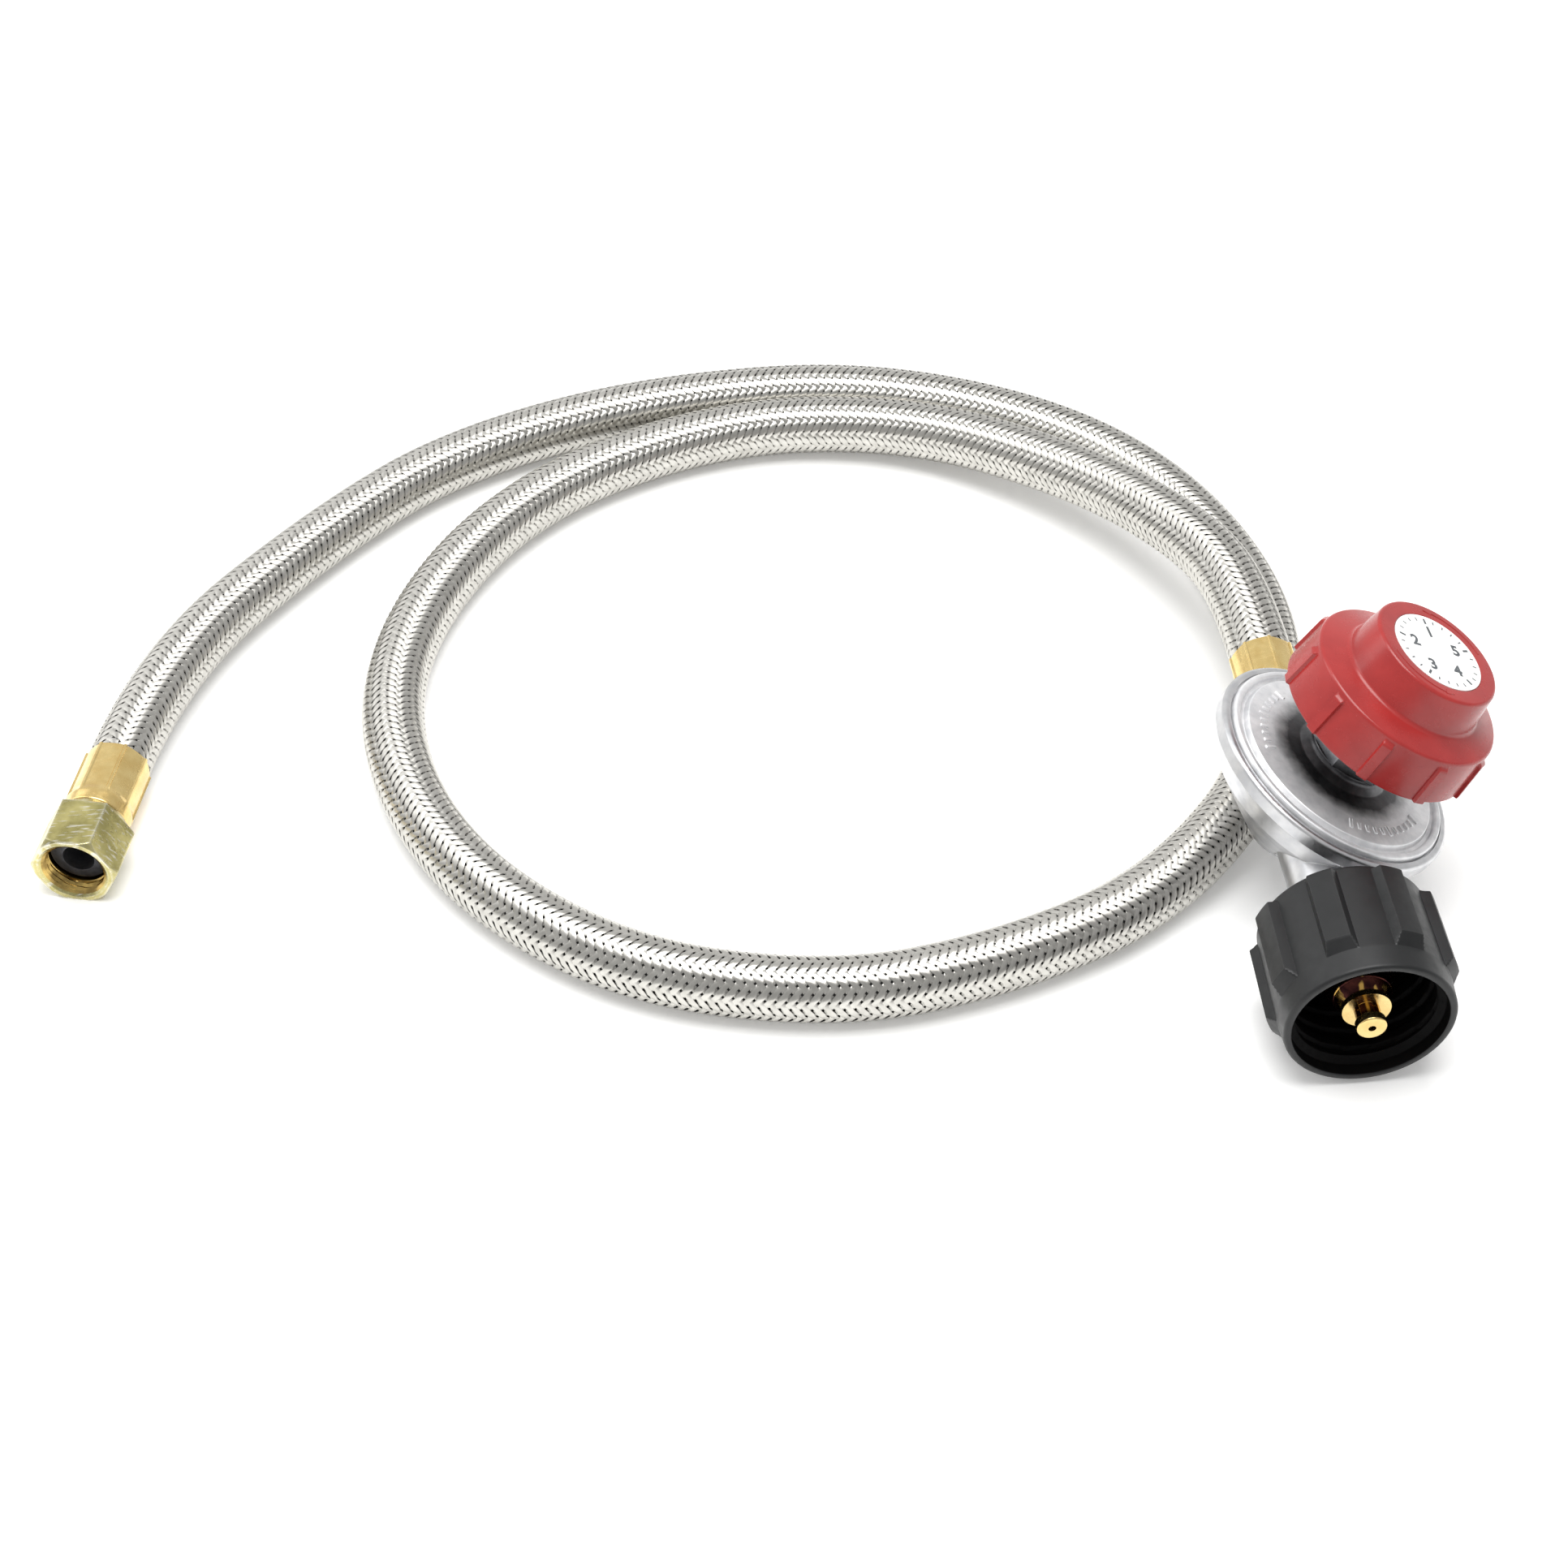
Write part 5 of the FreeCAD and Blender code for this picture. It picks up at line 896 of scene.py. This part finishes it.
FLANGE_FOOT, FLANGE_TOP, FLANGE_RADIUS, FLANGE_BORE = 10.4, 12.0, 30.45, 24.0
BEAD_RADIUS, BEAD_TOP_RADIUS, BEAD_INNER_RADIUS, BEAD_SHOULDER, BEAD_TOP = 29.2, 29.0, 27.4, 13.3, 14.3
GUTTER, GUTTER_OUTER, GUTTER_INNER = 13.1, 27.2, 26.2
STEP_RIM, STEP_LOW, STEP_NECK, STEP_HIGH = 25.6, 14.6, 12.0, 15.6
NECK_RADIUS, NECK_FOOT, NECK_TOP, NECK_BORE = 10.0, 17.4, 18.6, 8.4
CEILING, CEILING_RADIUS, CEILING_FOOT = 12.6, 23.2, 11.8
COVER_SIDES, DRILL_SIDES, COVER_CREASE = 240, 48, 40
VENT_AT, VENT_ANGLE = 18.0, math.radians(40)
# The breather hole: a narrow hole, wider above, with a flared mouth.
DRILL = [(0.0, 12.0), (1.5, 12.0), (1.5, 13.5), (2.2, 13.5), (2.2, 15.0), (2.5, 15.6), (2.5, 17.0),
         (0.0, 17.0)]
# (rise over the step, trim of each side) of a mark's foot, shoulder and top.
MARK_LAYERS = ((-0.15, 0.0), (0.22, 0.06), (0.30, 0.2))
MARK_RADIUS, MARK_WIDTH, MARK_LONG, MARK_SHORT = 21.6, 0.95, 2.8, 1.9
MARK_STARTS, MARK_STEP = (math.radians(128), math.radians(262)), math.radians(6.2)
MARKS, LONG_EVERY = 11, 5


def step_height(radius):
    """Height of the bonnet's sloping step at a radius."""
    return STEP_LOW + (STEP_RIM - radius) / (STEP_RIM - STEP_NECK) * (STEP_HIGH - STEP_LOW)


def raised_mark(number, angle, deep):
    """A small raised bar on the bonnet's step, long along the radius, its top narrower than its foot."""
    outward, across = ways(angle)
    points = []
    for rise, trim in MARK_LAYERS:
        for s, t in ((-1, -1), (1, -1), (1, 1), (-1, 1)):
            out = MARK_RADIUS + s * (deep / 2 - trim)
            points.append((*(outward * out + across * t * (MARK_WIDTH / 2 - trim)), step_height(out) + rise))
    faces = grid_faces(len(MARK_LAYERS), 4, False).tolist() + [(0, 1, 2, 3), (8, 9, 10, 11)]
    return mesh_piece("mark_%d" % number, np.array(points), faces, REGULATOR, crease=30)


def bonnet():
    """Cover with a bead ring, a sloping step, a neck, a breather hole and two rows of raised marks."""
    profile = rounded([
        (FLANGE_BORE, FLANGE_FOOT), (FLANGE_RADIUS, FLANGE_FOOT), (FLANGE_RADIUS, FLANGE_TOP),
        (BEAD_RADIUS, FLANGE_TOP), (BEAD_RADIUS, BEAD_SHOULDER), (BEAD_TOP_RADIUS, BEAD_TOP, 0.9),
        (BEAD_INNER_RADIUS, BEAD_TOP, 0.9), (GUTTER_OUTER, GUTTER, 0.3), (GUTTER_INNER, GUTTER, 0.3),
        (STEP_RIM, STEP_LOW, 0.4), (STEP_NECK, STEP_HIGH, 0.8), (NECK_RADIUS, NECK_FOOT, 1.6),
        (NECK_RADIUS, NECK_TOP, 0.3), (NECK_BORE, NECK_TOP), (NECK_BORE, CEILING), (CEILING_RADIUS, CEILING),
        (FLANGE_BORE, CEILING_FOOT),
    ], steps=6)
    shell = turned("bonnet_cover", profile, even_angles(COVER_SIDES), REGULATOR, crease=COVER_CREASE)
    outward, _ = ways(VENT_ANGLE)
    vent = REGULATOR[0], placed(np.array([*(outward * VENT_AT), 0.0]), REGULATOR)
    drill = turned("drill", np.array(DRILL), even_angles(DRILL_SIDES), vent)
    cut = shell.modifiers.new("vent", "BOOLEAN")
    cut.object, cut.operation, cut.solver = drill, "DIFFERENCE", "EXACT"
    made = bpy.data.meshes.new_from_object(shell.evaluated_get(bpy.context.evaluated_depsgraph_get()))
    shell.modifiers.clear()
    shell.data = made
    smoothed(made, COVER_CREASE)
    bpy.data.objects.remove(drill)
    marks = []
    for start in MARK_STARTS:
        for k in range(MARKS):
            deep = MARK_SHORT if k % LONG_EVERY else MARK_LONG
            marks.append(raised_mark(len(marks), start + MARK_STEP * k, deep))
    cover = joined("bonnet_cover", [shell] + marks)
    dressed(cover, "regulator", "cast_zinc", "bonnet", materials=[COVER_ZINC])


# Light and floor

FLOOR_HALF_M = 3.0
# Name, place and aim in metres, size in metres, power in watts.
LAMPS = (
    ("overhead", (-0.12, 0.0, 1.1), (-0.12, 0.0, 0), (0.8, 0.8), 12.5),
    ("left_back", (-1.04, 0.58, 0.75), (-0.12, 0.05, 0), (0.6, 0.9), 3.2),
)
# The room is brighter towards this side.
BRIGHT_WAY = (-0.33, 0.944, 0.0)
ROOM_RANGE = {"From Min": -0.5, "From Max": 0.8, "To Min": 0.5, "To Max": 0.88}


def studio():
    """White floor, two soft lamps and a grey room."""
    corners = np.array([(-1, -1, 0), (1, -1, 0), (1, 1, 0), (-1, 1, 0)]) * FLOOR_HALF_M / MM
    floor = mesh_piece("floor", corners, [(0, 1, 2, 3)])
    paper = finish("paper_white", (250, 250, 249), (247, 247, 246), rough=(0.8, 0.9), mottle=90, relief=0.0,
                   soften=0, Emission_Color=(1.0, 0.995, 0.985, 1.0), Emission_Strength=0.16)
    floor.data.materials.append(paper)
    for name, at, aim, size, power in LAMPS:
        lamp = bpy.data.lights.new(name, "AREA")
        lamp.shape = "RECTANGLE"
        lamp.size, lamp.size_y = size
        lamp.energy = power
        holder = bpy.data.objects.new(name, lamp)
        holder.location = at
        holder.rotation_euler = (Vector(aim) - Vector(at)).to_track_quat("-Z", "Y").to_euler()
        bpy.context.scene.collection.objects.link(holder)
    world = bpy.data.worlds.new("room")
    bpy.context.scene.world = world
    world.use_nodes = True
    tree = world.node_tree
    where = tree.nodes.new("ShaderNodeTexCoord")
    facing = tree.nodes.new("ShaderNodeVectorMath")
    facing.operation = "DOT_PRODUCT"
    facing.inputs[1].default_value = BRIGHT_WAY
    ramp = tree.nodes.new("ShaderNodeMapRange")
    for socket, value in ROOM_RANGE.items():
        ramp.inputs[socket].default_value = value
    tree.links.new(where.outputs["Generated"], facing.inputs[0])
    tree.links.new(facing.outputs["Value"], ramp.inputs["Value"])
    tree.links.new(ramp.outputs["Result"], tree.nodes["Background"].inputs["Color"])
    bpy.context.scene.view_settings.view_transform = "Standard"


photographed()
studio()
braid, middle_line = hose()
ferrule("outlet_crimp", OUTLET_CRIMP_AT, OUTLET, "outlet_ferrule")
far_crimp = ferrule("end_crimp", END_CRIMP_AT, FAR, "end_ferrule")
knob()
dial()
hand_nut()
flare = flare_nut()
bonnet()
